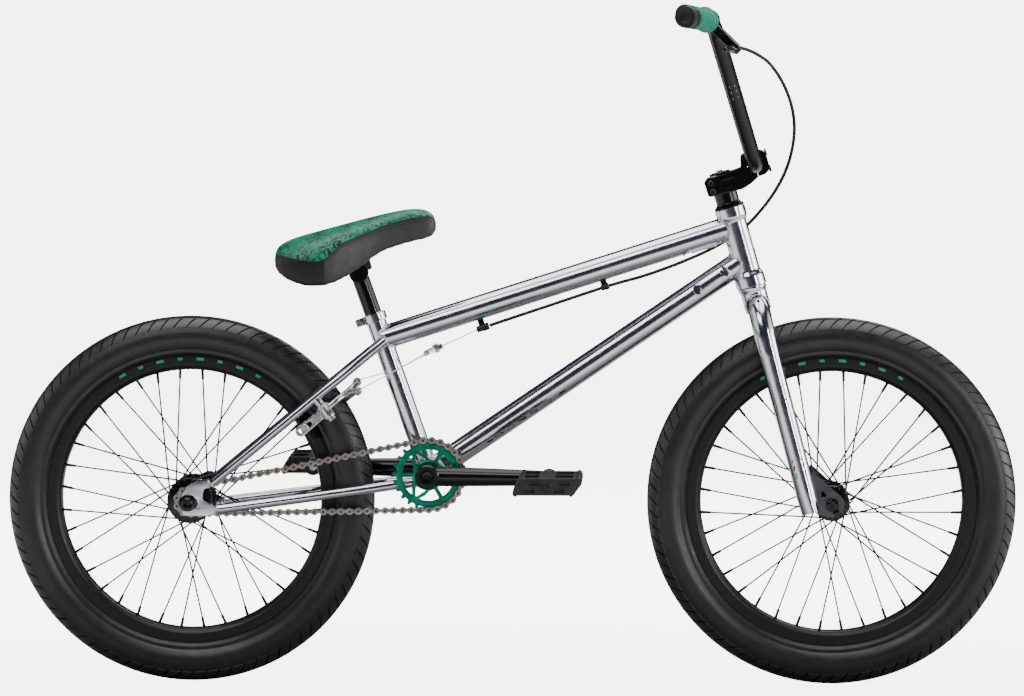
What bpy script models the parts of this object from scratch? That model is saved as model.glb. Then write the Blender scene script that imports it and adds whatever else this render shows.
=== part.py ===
"""A 20 inch freestyle BMX bicycle with a rear U-brake, as one part in separate solids.

Lengths below are millimetres.  A point is given as (x, y, z): x forwards from the rear axle,
y to the rider's left, z up from the ground.  The model is in metres, with its origin on the
ground midway between the wheels.
"""

import math

import bmesh
import bpy
from mathutils import Matrix, Vector

MM = 0.001
GAP = 0.35                    # clearance between pieces that touch

# ---- driving dimensions -------------------------------------------------------------------
WHEELBASE = 926.0
TYRE_RADIUS = 266.0
TYRE_SECTION = 29.7           # radius of the tyre's round section
TYRE_WALL = 3.4
RIM_INNER = 188.0
RIM_HALF = 17.0
SPOKES_PER_FLANGE = 18
SPOKE_RADIUS = 0.9

CHAIN_PITCH = 12.7
CHAIN_LINKS = 72
SPROCKET_TEETH = 25
DRIVER_TEETH = 9
CHAINLINE = -42.0
CHAIN_HALF_HEIGHT = 4.3
CHAIN_WIDTH = 8.4

BB_RISE = 39.6                # bottom bracket above the axles
CRANK_LENGTH = 175.0
HEAD_ANGLE = 74.0
SEAT_ANGLE = 70.5
HEAD_TUBE_FOOT = (810.3, 0.0, 576.4)
HEAD_TUBE_LENGTH = 118.0
SEAT_TUBE_LENGTH = 244.0
SEAT_TUBE_RADIUS = 14.3
STEERER_RADIUS = 14.3
MAIN_TUBE_RADIUS = 17.5
TOP_TUBE_AT_SEAT = 206.0      # distance up the seat tube
TOP_TUBE_AT_HEAD = 90.0       # distance up the head tube
DOWN_TUBE_AT_HEAD = 40.0

BAR_RADIUS = 11.1
BAR_HALF_WIDTH = 368.0
STEM_REACH = 52.0
STEM_CLAMP_HEIGHT = 168.0     # bar centre above the head tube's foot, along the steerer

AXLE_Z = TYRE_RADIUS
REAR_AXLE = (0.0, 0.0, AXLE_Z)
FRONT_AXLE = (WHEELBASE, 0.0, AXLE_Z)
SIDES = (("right", -1.0), ("left", 1.0))

FINISHES = {
    "polished_steel": ((0.72, 0.73, 0.76), 0.18, 1.0),
    "black_metal": ((0.02, 0.02, 0.022), 0.35, 0.6),
    "green_anodised": ((0.01, 0.26, 0.17), 0.3, 0.9),
    "silver_alloy": ((0.75, 0.75, 0.74), 0.3, 1.0),
    "chain_steel": ((0.55, 0.5, 0.46), 0.35, 1.0),
    "bearing_steel": ((0.6, 0.6, 0.62), 0.25, 1.0),
    "tyre_rubber": ((0.025, 0.025, 0.027), 0.8, 0.0),
    "green_rubber": ((0.05, 0.5, 0.36), 0.6, 0.0),
    "dark_plastic": ((0.04, 0.04, 0.043), 0.5, 0.0),
    "black_rubber": ((0.015, 0.015, 0.016), 0.6, 0.0),
    "saddle_vinyl": ((0.03, 0.2, 0.14), 0.55, 0.0),
}


# ---- scene, materials and placing -----------------------------------------------------------
def clear_scene():
    for item in list(bpy.data.objects):
        bpy.data.objects.remove(item, do_unlink=True)


def make_collection(name):
    group = bpy.data.collections.new(name)
    bpy.context.scene.collection.children.link(group)
    return group


def make_materials():
    made = {}
    for name, (colour, roughness, metallic) in FINISHES.items():
        material = bpy.data.materials.new(name)
        material.use_nodes = True
        shader = material.node_tree.nodes["Principled BSDF"]
        shader.inputs["Base Color"].default_value = (*colour, 1.0)
        shader.inputs["Roughness"].default_value = roughness
        shader.inputs["Metallic"].default_value = metallic
        made[name] = material
    return made


def at(x, y, z):
    """World position of a point given in millimetres from under the rear axle."""
    return Vector((x - WHEELBASE / 2.0, y, z)) * MM


def tilted_frame(foot, angle):
    """Local axes whose Z leans back from the horizontal by angle and whose X points forwards."""
    turn = Matrix.Rotation(math.radians(angle - 90.0), 4, "Y")
    return Matrix.Translation(at(*foot)) @ turn


def along(start, end):
    """Local axes at the middle of start-end, Z along it (points in metres)."""
    turn = (end - start).to_track_quat("Z", "Y").to_matrix().to_4x4()
    return Matrix.Translation((start + end) / 2.0) @ turn


UPRIGHT = Matrix.Rotation(math.radians(90.0), 4, "X")   # local Z to -Y, local Y to +Z

clear_scene()
PARTS = make_collection("bmx_bike")
CUTTERS = make_collection("cutters")
MATERIAL = make_materials()


def add_object(name, mesh, finish, matrix=None):
    item = bpy.data.objects.new(name, mesh)
    PARTS.objects.link(item)
    if matrix is not None:
        item.matrix_world = matrix
    if finish is not None:
        mesh.materials.append(MATERIAL[finish])
    return item


def as_cutter(item):
    PARTS.objects.unlink(item)
    CUTTERS.objects.link(item)
    item.hide_render = True
    item.display_type = "WIRE"
    return item


def boolean(item, other, operation):
    as_cutter(other)
    step = item.modifiers.new(operation.lower(), "BOOLEAN")
    step.operation = operation
    step.object = other
    step.solver = "EXACT"
    return item


def cut(item, *others):
    for other in others:
        boolean(item, other, "DIFFERENCE")
    return item


def unite(item, *others):
    for other in others:
        boolean(item, other, "UNION")
    return item


def smooth(item, angle=35.0):
    item.data.shade_smooth()
    item.data.set_sharp_from_angle(angle=math.radians(angle))
    return item


# ---- basic shapes -----------------------------------------------------------------------------
def cone(name, start, end, radius, end_radius=None, finish=None, sides=24):
    """A solid round bar between two world points; radii in millimetres."""
    mesh = bpy.data.meshes.new(name)
    build = bmesh.new()
    bmesh.ops.create_cone(
        build,
        cap_ends=True,
        segments=sides,
        radius1=radius * MM,
        radius2=(radius if end_radius is None else end_radius) * MM,
        depth=(end - start).length,
    )
    build.to_mesh(mesh)
    build.free()
    return smooth(add_object(name, mesh, finish, along(start, end)))


def box(name, size, matrix, finish=None):
    """A block of size (millimetres) centred on the matrix."""
    mesh = bpy.data.meshes.new(name)
    build = bmesh.new()
    bmesh.ops.create_cube(build, size=1.0, matrix=Matrix.Diagonal((*[side * MM for side in size], 1.0)))
    build.to_mesh(mesh)
    build.free()
    return add_object(name, mesh, finish, matrix)


def turned(name, profile, matrix, finish=None, steps=24, closed=True):
    """A turned shape: profile is (radius, height) down the outer side, then back up the inner."""
    mesh = bpy.data.meshes.new(name)
    points = [(radius * MM, 0.0, height * MM) for radius, height in profile]
    edges = [(index, index + 1) for index in range(len(points) - 1)]
    if closed:
        edges.append((len(points) - 1, 0))
    mesh.from_pydata(points, edges, [])
    item = add_object(name, mesh, finish, matrix)
    spin = item.modifiers.new("turn", "SCREW")
    spin.axis = "Z"
    spin.angle = math.tau
    spin.steps = steps
    spin.render_steps = steps
    spin.use_merge_vertices = not closed
    spin.merge_threshold = 0.00005
    spin.use_smooth_shade = True
    return item


def tube(name, start, end, radius, wall, finish=None, sides=24):
    """A hollow round tube with open ends between two world points."""
    half = (end - start).length / MM / 2.0
    inner = radius - wall
    profile = [(radius, half), (radius, -half), (inner, -half), (inner, half)]
    return turned(name, profile, along(start, end), finish, steps=sides)


def curve_mesh(name, curve, matrix, finish):
    """Turns a curve into a closed mesh object with welded caps."""
    holder = bpy.data.objects.new(name + "_curve", curve)
    PARTS.objects.link(holder)
    holder.matrix_world = matrix
    graph = bpy.context.evaluated_depsgraph_get()
    mesh = bpy.data.meshes.new_from_object(holder.evaluated_get(graph))
    bpy.data.objects.remove(holder, do_unlink=True)
    build = bmesh.new()
    build.from_mesh(mesh)
    bmesh.ops.remove_doubles(build, verts=build.verts, dist=0.00002)
    build.to_mesh(mesh)
    build.free()
    mesh.materials.clear()
    return add_object(name, mesh, finish, matrix)


def rod(name, points, radius, finish=None, resolution=3, scales=None):
    """A round bar through world points; scales multiply the radius point by point."""
    curve = bpy.data.curves.new(name, "CURVE")
    curve.dimensions = "3D"
    curve.bevel_depth = radius * MM
    curve.bevel_resolution = resolution
    curve.use_fill_caps = True
    spline = curve.splines.new("POLY")
    spline.points.add(len(points) - 1)
    for index, point in enumerate(points):
        spline.points[index].co = (*point, 1.0)
        spline.points[index].radius = 1.0 if scales is None else scales[index]
    return smooth(curve_mesh(name, curve, Matrix.Identity(4), finish), 50.0)


def plate(name, outline, thickness, matrix, finish=None, holes=()):
    """A flat outline in local XY (millimetres), extruded along local Z, with holes through it."""
    curve = bpy.data.curves.new(name, "CURVE")
    curve.dimensions = "2D"
    curve.fill_mode = "BOTH"
    curve.extrude = thickness * MM / 2.0
    for loop in (outline, *holes):
        spline = curve.splines.new("POLY")
        spline.points.add(len(loop) - 1)
        for index, (x, y) in enumerate(loop):
            spline.points[index].co = (x * MM, y * MM, 0.0, 1.0)
        spline.use_cyclic_u = True
    return smooth(curve_mesh(name, curve, matrix, finish))


def arc(centre, radius, first, last, steps):
    """Points of an arc in a plane, angles in degrees."""
    points = []
    for index in range(steps + 1):
        angle = math.radians(first + (last - first) * index / steps)
        points.append((centre[0] + radius * math.cos(angle), centre[1] + radius * math.sin(angle)))
    return points


def circle(centre, radius, steps=16):
    return arc(centre, radius, 0.0, 360.0, steps)[:-1]


def smooth_path(points, per_span):
    """A Catmull-Rom curve through the points."""
    ends = [points[0] * 2.0 - points[1], *points, points[-1] * 2.0 - points[-2]]
    path = []
    for index in range(1, len(ends) - 2):
        p0, p1, p2, p3 = ends[index - 1 : index + 3]
        for step in range(per_span):
            t = step / per_span
            path.append(
                0.5 * (2.0 * p1 + (p2 - p0) * t)
                + 0.5 * (2.0 * p0 - 5.0 * p1 + 4.0 * p2 - p3) * t**2
                + 0.5 * (3.0 * p1 - p0 - 3.0 * p2 + p3) * t**3
            )
    path.append(points[-1])
    return path


def rounded_path(corners, radii, steps=6):
    """Straight runs between the corners, with an arc of the given radius (mm) at each inner one."""
    path = [corners[0]]
    for index in range(1, len(corners) - 1):
        corner = corners[index]
        back = (corners[index - 1] - corner).normalized()
        ahead = (corners[index + 1] - corner).normalized()
        half = back.angle(ahead) / 2.0
        radius = radii[index - 1] * MM
        middle = corner + (back + ahead).normalized() * (radius / math.sin(half))
        first = (corner + back * (radius / math.tan(half)) - middle).normalized()
        last = (corner + ahead * (radius / math.tan(half)) - middle).normalized()
        for step in range(steps + 1):
            path.append(middle + first.slerp(last, step / steps) * radius)
    path.append(corners[-1])
    return path


# ---- shared geometry --------------------------------------------------------------------------
def pitch_radius(teeth):
    return CHAIN_PITCH / (2.0 * math.sin(math.pi / teeth))


def centre_distance():
    """Bottom bracket to rear axle, so that the chain closes with a whole number of links."""
    low, high = 300.0, 420.0
    large = SPROCKET_TEETH * CHAIN_PITCH / math.tau
    small = DRIVER_TEETH * CHAIN_PITCH / math.tau
    while high - low > 0.001:
        middle = (low + high) / 2.0
        lean = math.asin((large - small) / middle)
        straight = 2.0 * middle * math.cos(lean)
        length = straight + large * (math.pi + 2.0 * lean) + small * (math.pi - 2.0 * lean)
        if length > CHAIN_LINKS * CHAIN_PITCH:
            high = middle
        else:
            low = middle
    return low


BB_X = math.sqrt(centre_distance() ** 2 - BB_RISE**2)
BB = (BB_X, 0.0, AXLE_Z + BB_RISE)
HEAD = tilted_frame(HEAD_TUBE_FOOT, HEAD_ANGLE)
SEAT = tilted_frame(BB, SEAT_ANGLE)
STAY_ANGLE = 39.5


def head_point(forward, side, height):
    return HEAD @ (Vector((forward, side, height)) * MM)


def seat_point(forward, side, height):
    return SEAT @ (Vector((forward, side, height)) * MM)


def stay_point(up, side, out):
    """A point up the seat stays from the rear axle, and out below them towards the front."""
    lean = math.radians(STAY_ANGLE)
    x = up * math.cos(lean) + out * math.sin(lean)
    z = AXLE_Z + up * math.sin(lean) - out * math.cos(lean)
    return at(x, side, z)


def side_matrix(x, y, z):
    """Local X forwards and local Y up, seen from the rider's right."""
    return Matrix.Translation(at(x, y, z)) @ UPRIGHT


# ---- frame ---------------------------------------------------------------------------------------
FRAME_FINISH = "polished_steel"
HEAD_TUBE_RADIUS = 18.6
HEAD_TUBE_FLARE = 22.0
BB_SHELL_RADIUS = 23.0
BB_SHELL_HALF = 36.5
BB_INNER = 20.6
STAY_RADIUS = 7.2
CHAINSTAY_PATH = ((42.4, 55.6, 256.4), (90, 54.5, 262.6), (160, 49.5, 271.7), (215, 43.5, 278.9),
                  (240, 40.6, 282.1), (265, 35.5, 285.4), (290, 29.6, 288.7), (345, 25.5, 295.9))
SEATSTAY_PATH = ((43.2, 56.6), (90, 54.5), (160, 49.5), (220, 44.5), (266, 41.0), (305, 33.0),
                 (340, 20.5), (366, 13.5))
BRAKE_PIVOT_UP = 236.5
BRAKE_PIVOT_SIDE = 43.0
DROPOUT_INNER = 55.0
DROPOUT_THICKNESS = 6.0


def head_tube_side(extra):
    """The head tube's outside, top to bottom, moved out by extra."""
    top, flare = HEAD_TUBE_LENGTH + extra, HEAD_TUBE_FLARE + extra
    return [(flare, top), (flare, top - 13.0), (HEAD_TUBE_RADIUS + extra, top - 22.0),
            (HEAD_TUBE_RADIUS + extra, 24.0), (flare, 14.0), (flare, -extra)]


def make_head_tube():
    seat, bore, length = 20.9, 17.0, HEAD_TUBE_LENGTH
    inside = [(seat, 0.0), (seat, 8.0), (bore, 8.0), (bore, length - 8.0), (seat, length - 8.0), (seat, length)]
    return turned("head_tube", head_tube_side(0.0) + inside, HEAD, FRAME_FINISH, steps=24)


def head_tube_cutter(name):
    outside = head_tube_side(GAP)
    return turned(name, [(0.0, outside[0][1]), *outside, (0.0, outside[-1][1])], HEAD, steps=24, closed=False)


def seat_tube_cutter(name, low, high):
    return cone(name, seat_point(0, 0, low), seat_point(0, 0, high), SEAT_TUBE_RADIUS + GAP)


def shell_cutter(name):
    return cone(name, at(BB_X, -60, BB[2]), at(BB_X, 60, BB[2]), BB_SHELL_RADIUS + GAP)


def top_tube_cutter(name):
    return cone(name, seat_point(0, 0, TOP_TUBE_AT_SEAT), head_point(0, 0, TOP_TUBE_AT_HEAD),
                MAIN_TUBE_RADIUS + GAP, sides=28)


def make_main_tubes():
    top = tube("top_tube", seat_point(0, 0, TOP_TUBE_AT_SEAT), head_point(0, 0, TOP_TUBE_AT_HEAD),
               MAIN_TUBE_RADIUS, 1.6, FRAME_FINISH, 28)
    cut(top, head_tube_cutter("cut_top_head"), seat_tube_cutter("cut_top_seat", 60, 300))
    down = tube("down_tube", at(*BB), head_point(0, 0, DOWN_TUBE_AT_HEAD),
                MAIN_TUBE_RADIUS, 1.6, FRAME_FINISH, 28)
    cut(down, head_tube_cutter("cut_down_head"), shell_cutter("cut_down_shell"),
        seat_tube_cutter("cut_down_seat", 0, 120))
    seat = tube("seat_tube", seat_point(0, 0, 0), seat_point(0, 0, SEAT_TUBE_LENGTH),
                SEAT_TUBE_RADIUS, 1.35, FRAME_FINISH)
    cut(seat, shell_cutter("cut_seat_shell"))


def make_bottom_bracket():
    matrix = side_matrix(*BB)
    profile = [(BB_SHELL_RADIUS, BB_SHELL_HALF), (BB_SHELL_RADIUS, -BB_SHELL_HALF),
               (BB_INNER, -BB_SHELL_HALF), (BB_INNER, BB_SHELL_HALF)]
    turned("bottom_bracket_shell", profile, matrix, FRAME_FINISH)
    for side, sign in SIDES:
        outer, inner = BB_SHELL_HALF - 0.5, BB_SHELL_HALF - 11.5
        low, high = sorted((-sign * inner, -sign * outer))
        ring = [(BB_INNER - 0.3, high), (BB_INNER - 0.3, low), (9.9, low), (9.9, high)]
        turned("bb_bearing_" + side, ring, matrix, "bearing_steel", steps=20)


def make_chainstay(side, sign):
    route = [at(x, sign * y, z) for x, y, z in CHAINSTAY_PATH]
    stay = rod("chainstay_" + side, smooth_path(route, 2), STAY_RADIUS, FRAME_FINISH)
    cut(stay, shell_cutter("cut_chainstay_" + side))


def make_seatstay(side, sign):
    """The stay carries the brake's boss and the stud that its arm turns on."""
    route = [stay_point(up, sign * y, 0) for up, y in SEATSTAY_PATH]
    stay = rod("seatstay_" + side, smooth_path(route, 2), STAY_RADIUS, FRAME_FINISH)
    cut(stay, seat_tube_cutter("cut_seatstay_" + side, 100, 260), top_tube_cutter("cut_seatstay_top_" + side))
    pivot = BRAKE_PIVOT_UP, sign * BRAKE_PIVOT_SIDE
    boss = cone("boss_" + side, stay_point(*pivot, 0), stay_point(*pivot, 13.5), 7.0, sides=16)
    stud = cone("stud_" + side, stay_point(*pivot, 10), stay_point(*pivot, 38), 4.0, sides=12)
    unite(stay, boss, stud)


def make_dropout(side, sign):
    """Fan-shaped plate with a slot open to the rear, between the two stays."""
    slot = [(-9.0, 7.3), *arc((7.0, 0.0), 7.3, 90.0, -90.0, 8), (-9.0, -7.3)]
    outline = [
        *slot, (-8.0, -15.5), (-3.0, -18.8), (27.0, -18.8), (39.5, -14.6), (40.5, -5.6),
        (27.0, 1.0), (22.5, 6.0), (22.0, 12.0), (24.0, 19.5), (32.0, 24.0), (30.0, 29.0), (19.0, 35.0),
        (0.0, 25.0), (-8.0, 14.0),
    ]
    middle = sign * (DROPOUT_INNER + DROPOUT_THICKNESS / 2.0)
    plate("dropout_" + side, outline, DROPOUT_THICKNESS, side_matrix(0, middle, AXLE_Z), FRAME_FINISH)


def make_seat_clamp():
    top = SEAT_TUBE_LENGTH - 0.5
    ring_radius, inner = 17.6, SEAT_TUBE_RADIUS + GAP
    profile = [(ring_radius, top), (ring_radius, top - 12.0), (inner, top - 12.0), (inner, top)]
    clamp = turned("seat_clamp", profile, SEAT, FRAME_FINISH)
    middle = top - 6.0
    ears_place = SEAT @ Matrix.Translation(Vector((-21.5, 0, middle)) * MM)
    unite(clamp, box("clamp_ears", (12.0, 17.0, 11.0), ears_place))
    slit_place = SEAT @ Matrix.Translation(Vector((-22, 0, middle)) * MM)
    cut(clamp, box("clamp_slit", (16.0, 2.0, 20.0), slit_place))
    start, end = seat_point(-22.5, -12, middle), seat_point(-22.5, 12, middle)
    bolt = cone("clamp_bolt", start, end, 3.6, sides=12)
    return unite(clamp, bolt)


def make_headset():
    radius, inner = 20.6, STEERER_RADIUS + GAP
    for name, low in (("lower_headset_bearing", 0.6), ("upper_headset_bearing", HEAD_TUBE_LENGTH - 7.6)):
        ring = [(radius, low + 7.0), (radius, low), (inner, low), (inner, low + 7.0)]
        turned(name, ring, HEAD, "bearing_steel", steps=20)
    foot = HEAD_TUBE_LENGTH + GAP
    profile = [
        (17.0, foot + 20.0), (17.0, foot + 8.0), (21.6, foot + 2.5), (21.6, foot),
        (inner, foot), (inner, foot + 20.0),
    ]
    return turned("headset_cap", profile, HEAD, "black_metal", steps=24)


# ---- fork ----------------------------------------------------------------------------------------
CROWN_RADIUS = 19.0
CROWN_DEPTH = 38.0
FORK_PATH = ((817.4, 8, 551.8), (820.5, 30, 543.5), (826.0, 44.0, 520.0), (833.0, 48.2, 490.0),
             (845.0, 49.2, 445.0), (895.5, 53.0, 254.0))
FRONT_DROPOUT_INNER = 50.0


def make_fork():
    stub = [(STEERER_RADIUS, 168.0), (STEERER_RADIUS, -GAP), (CROWN_RADIUS + 1.6, -GAP),
            (CROWN_RADIUS + 1.6, -5.0), (CROWN_RADIUS, -7.0), (CROWN_RADIUS, -CROWN_DEPTH),
            (11.0, -CROWN_DEPTH), (11.0, 168.0)]
    turned("fork_steerer", stub, HEAD, FRAME_FINISH, steps=24)
    for side, sign in SIDES:
        route = smooth_path([at(x, sign * y, z) for x, y, z in FORK_PATH], 2)
        scales = [1.0 - 0.12 * index / (len(route) - 1) for index in range(len(route))]
        leg = rod("fork_leg_" + side, route, 16.4, FRAME_FINISH, 5, scales)
        low, high = head_point(0, 0, -90), head_point(0, 0, 20)
        cut(leg, cone("cut_leg_" + side, low, high, CROWN_RADIUS + GAP, sides=32))
        unite(leg, make_fork_dropout(side, sign))


def make_fork_dropout(side, sign):
    """A wedge-shaped plate with a slot open forwards and downwards, and a small window."""
    width, reach, lean = 5.4, 18.0, math.radians(-60.0)
    cosine, sine = math.cos(lean), math.sin(lean)
    mouth = [
        (reach * cosine + turn * width * sine, reach * sine - turn * width * cosine)
        for turn in (1.0, -1.0)
    ]
    outline = [
        (-34.0, 48.0), (-34.0, -9.0), (-29.0, -10.0), (-15.0, -16.0), mouth[0],
        *arc((0.0, 0.0), width, -150.0, -390.0, 8), mouth[1], (16.5, 0.0), (16.2, 6.5), (5.5, 18.2),
        (-28.0, 48.5),
    ]
    window = [(-15.0, 12.5), (-8.0, 13.5), (-14.5, 20.5)]
    middle = sign * (FRONT_DROPOUT_INNER + 3.0)
    return plate("fork_dropout_" + side, outline, 6.0, side_matrix(WHEELBASE, middle, AXLE_Z),
                 FRAME_FINISH, holes=(window,))


# ---- stem, bars and grips ------------------------------------------------------------------------
BAR_CENTRE = (STEM_REACH, STEM_CLAMP_HEIGHT)      # in the head tube's own axes
STEM_HALF_WIDTH = 25.0
BAR_FOOT = (814.0, 66.0, 752.2)
BAR_SHOULDER = (752.1, 178.0, 957.8)
BAR_END = (713.2, BAR_HALF_WIDTH, 965.4)
CROSSBAR_SHARE = 0.56                             # how far up the uprights the crossbar sits
GRIP_START = 225.0
GRIP_RADIUS = 14.6


def bar_corner(point, sign):
    return at(point[0], sign * point[1], point[2])


def grip_point(side_distance, sign):
    share = (side_distance - BAR_SHOULDER[1]) / (BAR_HALF_WIDTH - BAR_SHOULDER[1])
    return bar_corner(BAR_SHOULDER, sign).lerp(bar_corner(BAR_END, sign), share)


def make_stem():
    flat = HEAD @ UPRIGHT
    body = [
        (-25.0, 141.0), (26.0, 139.0), (52.0, 149.5), (52.0, 187.0), (36.0, 187.0), (31.0, 169.0),
        (-21.0, 166.5), (-26.0, 162.0),
    ]
    stem = plate("stem", body, 2.0 * STEM_HALF_WIDTH, flat, "black_metal")
    cut(stem, cone("cut_stem_steerer", head_point(0, 0, 120), head_point(0, 0, 200), STEERER_RADIUS + GAP),
        stem_bar_cutter("stem"))
    front = [(52.5, 149.0), (66.0, 150.0), (71.5, 160.0), (71.5, 178.0), (66.0, 187.5), (52.5, 187.5)]
    face = plate("stem_faceplate", front, 2.0 * STEM_HALF_WIDTH, flat, "black_metal")
    cut(face, stem_bar_cutter("face"))


def stem_bar_cutter(name):
    forward, height = BAR_CENTRE
    return cone("cut_bar_" + name, head_point(forward, -60, height), head_point(forward, 60, height),
                BAR_RADIUS + GAP)


def make_bars():
    corners = []
    for sign in (-1.0, 1.0):
        side = [bar_corner(BAR_END, sign), bar_corner(BAR_SHOULDER, sign), bar_corner(BAR_FOOT, sign)]
        corners += side if sign < 0.0 else side[::-1]
    route = rounded_path(corners, (45.0, 34.0, 34.0, 45.0), 4)
    rod("handlebar", route, BAR_RADIUS, "black_metal", 4)
    ends = [
        bar_corner(BAR_FOOT, sign).lerp(bar_corner(BAR_SHOULDER, sign), CROSSBAR_SHARE)
        for sign in (-1, 1)
    ]
    crossbar = cone("crossbar", *ends, 9.0, finish="black_metal", sides=16)
    for side, sign in SIDES:
        cut(crossbar, cone("cut_crossbar_" + side, bar_corner(BAR_FOOT, sign), bar_corner(BAR_SHOULDER, sign),
                           BAR_RADIUS + GAP))


def make_grip(side, sign):
    """A rubber sleeve closed at its outer end, with a flange at its inner end."""
    start, end = grip_point(GRIP_START, sign), grip_point(BAR_HALF_WIDTH, sign)
    middle = along(start, end)
    half = (end - start).length / MM / 2.0
    bore = BAR_RADIUS + GAP
    profile = [
        (0.0, half + 3.6), (10.0, half + 3.6), (GRIP_RADIUS, half + 1.0), (GRIP_RADIUS, 5.0 - half),
        (17.5, 4.0 - half), (17.5, -half), (bore, -half), (bore, half + GAP), (0.0, half + GAP),
    ]
    turned("grip_" + side, profile, middle, "green_rubber", steps=20, closed=False)


# ---- wheels --------------------------------------------------------------------------------------
WHEEL_STEPS = 40
TYRE_RING = TYRE_RADIUS - TYRE_SECTION
FLANGE_SPLAY = 1.8


def make_tyre(name, axle):
    """An open-bottomed carcass: round outside, with two beads in the rim."""
    opening = 28.0
    outside = arc((TYRE_RING, 0.0), TYRE_SECTION, 180.0 - opening, -180.0 + opening, 10)
    inside = arc((TYRE_RING, 0.0), TYRE_SECTION - TYRE_WALL, -180.0 + 24.0, 180.0 - 24.0, 4)
    bead = [(205.0, -14.4), (205.0, -11.0)]
    profile = [*outside, *bead, *inside, (205.0, 11.0), (205.0, 14.4)]
    turned(name, profile, side_matrix(*axle), "tyre_rubber", steps=WHEEL_STEPS)


def make_rim(name, axle):
    outer, well = 209.0, 197.5
    profile = [
        (outer, RIM_HALF), (195.0, RIM_HALF), (RIM_INNER, 9.0), (RIM_INNER, -9.0), (195.0, -RIM_HALF),
        (outer, -RIM_HALF), (outer, -15.0), (204.0, -15.0), (well, -8.0), (well, 8.0), (204.0, 15.0),
        (outer, 15.0),
    ]
    turned(name, profile[::-1], side_matrix(*axle), "black_metal", steps=WHEEL_STEPS)


def spoke_ends(flange_radius, flange_side, flange, index):
    """Hub and rim ends of one spoke of a three-cross wheel, as (x, y, z) about the axle."""
    step = math.tau / SPOKES_PER_FLANGE
    leading = 1.0 if index % 2 else -1.0
    rim_angle = step * (index + 0.25 * flange)
    hub_angle = rim_angle + leading * math.radians(60.0)
    splay = FLANGE_SPLAY * leading
    hub = Vector((flange_radius * math.cos(hub_angle), flange * flange_side + splay,
                  flange_radius * math.sin(hub_angle)))
    reach = RIM_INNER - 1.3
    rim = Vector((reach * math.cos(rim_angle), flange * 4.0, reach * math.sin(rim_angle)))
    return hub, rim


def make_hub(name, axle, profile, flange_radius, flange_side):
    """Hub shell and its spokes as one piece; the spokes end just short of the rim."""
    hub = turned(name, profile, side_matrix(*axle), "black_metal", steps=16)
    centre = Vector(axle)
    mesh = bpy.data.meshes.new(name + "_spokes")
    build = bmesh.new()
    for flange in (-1.0, 1.0):
        for index in range(SPOKES_PER_FLANGE):
            ends = spoke_ends(flange_radius, flange_side, flange, index)
            start, end = (at(*(centre + point)) for point in ends)
            bmesh.ops.create_cone(
                build, cap_ends=True, segments=4, radius1=SPOKE_RADIUS * MM, radius2=SPOKE_RADIUS * MM,
                depth=(end - start).length, matrix=along(start, end),
            )
    build.to_mesh(mesh)
    build.free()
    unite(hub, add_object(name + "_spokes", mesh, None))


def make_wheels():
    for place, axle in (("rear", REAR_AXLE), ("front", FRONT_AXLE)):
        make_tyre(place + "_tyre", axle)
        make_rim(place + "_rim", axle)
    bore = 7.35
    rear = [
        (17.0, 34.0), (33.0, 32.2), (33.0, 27.8), (18.0, 22.0), (18.0, -22.0), (33.0, -27.8), (33.0, -32.2),
        (17.0, -34.0), (12.0, -53.5), (bore, -53.5), (bore, 34.0),
    ]
    make_hub("rear_hub", REAR_AXLE, rear, 29.0, 30.0)
    bore = 5.35
    front = [
        (10.0, 48.5), (14.0, 35.5), (26.0, 34.2), (26.0, 29.8), (13.0, 24.0), (13.0, -24.0), (26.0, -29.8),
        (26.0, -34.2), (14.0, -35.5), (10.0, -48.5), (bore, -48.5), (bore, 48.5),
    ]
    make_hub("front_hub", FRONT_AXLE, front, 22.5, 32.0)
    driver = pitch_radius(DRIVER_TEETH) - CHAIN_HALF_HEIGHT - GAP
    profile = [
        (10.5, 53.5), (12.5, 45.5), (driver, -CHAINLINE + 2.5), (driver, -CHAINLINE - 2.5), (12.5, 34.5),
        (7.35, 34.5), (7.35, 53.5),
    ]
    turned("driver_cog", profile, side_matrix(*REAR_AXLE), "bearing_steel", steps=20)


def make_axle(name, axle, radius, dropout_outer, washer, end):
    """Axle with a flanged nut outside each dropout."""
    half = [
        (radius - 2.4, end), (radius, end - 1.0), (radius, dropout_outer + 4.5),
        (washer, dropout_outer + 3.4), (washer, dropout_outer + GAP), (radius, dropout_outer + GAP),
    ]
    profile = [(0.0, end), *half, *[(r, -h) for r, h in reversed(half)], (0.0, -end)]
    turned(name, profile, side_matrix(*axle), "black_metal", steps=16, closed=False)


# ---- chain and cranks ----------------------------------------------------------------------------
def chain_loop(offset):
    """The chain's path in the side plane about the rear axle, moved out by offset."""
    large = pitch_radius(SPROCKET_TEETH) + offset
    small = pitch_radius(DRIVER_TEETH) + offset
    rise = math.degrees(math.atan2(BB_RISE, BB_X))
    lean = math.degrees(math.asin((large - small) / centre_distance()))
    front = arc((BB_X, BB_RISE), large, rise - 90.0 - lean, rise + 90.0 + lean, 20)
    rear = arc((0.0, 0.0), small, rise + 90.0 + lean, rise + 270.0 - lean, 10)
    return front + rear


def make_chain():
    plate("chain", chain_loop(CHAIN_HALF_HEIGHT), CHAIN_WIDTH, side_matrix(0, CHAINLINE, AXLE_Z),
          "chain_steel", holes=(chain_loop(-CHAIN_HALF_HEIGHT),))


def sprocket_windows():
    """Six openings between the spokes, in three equal thirds."""
    windows = []
    inner, outer = 21.0, 39.5
    for third in range(3):
        turn = third * 120.0
        for first, last in ((8.0, 54.0), (66.0, 112.0)):
            inner_arc = arc((0, 0), inner, turn + first + 12.0, turn + last - 6.0, 3)
            outer_arc = arc((0, 0), outer, turn + last, turn + first, 5)
            windows.append(inner_arc + outer_arc)
    return windows


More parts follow.
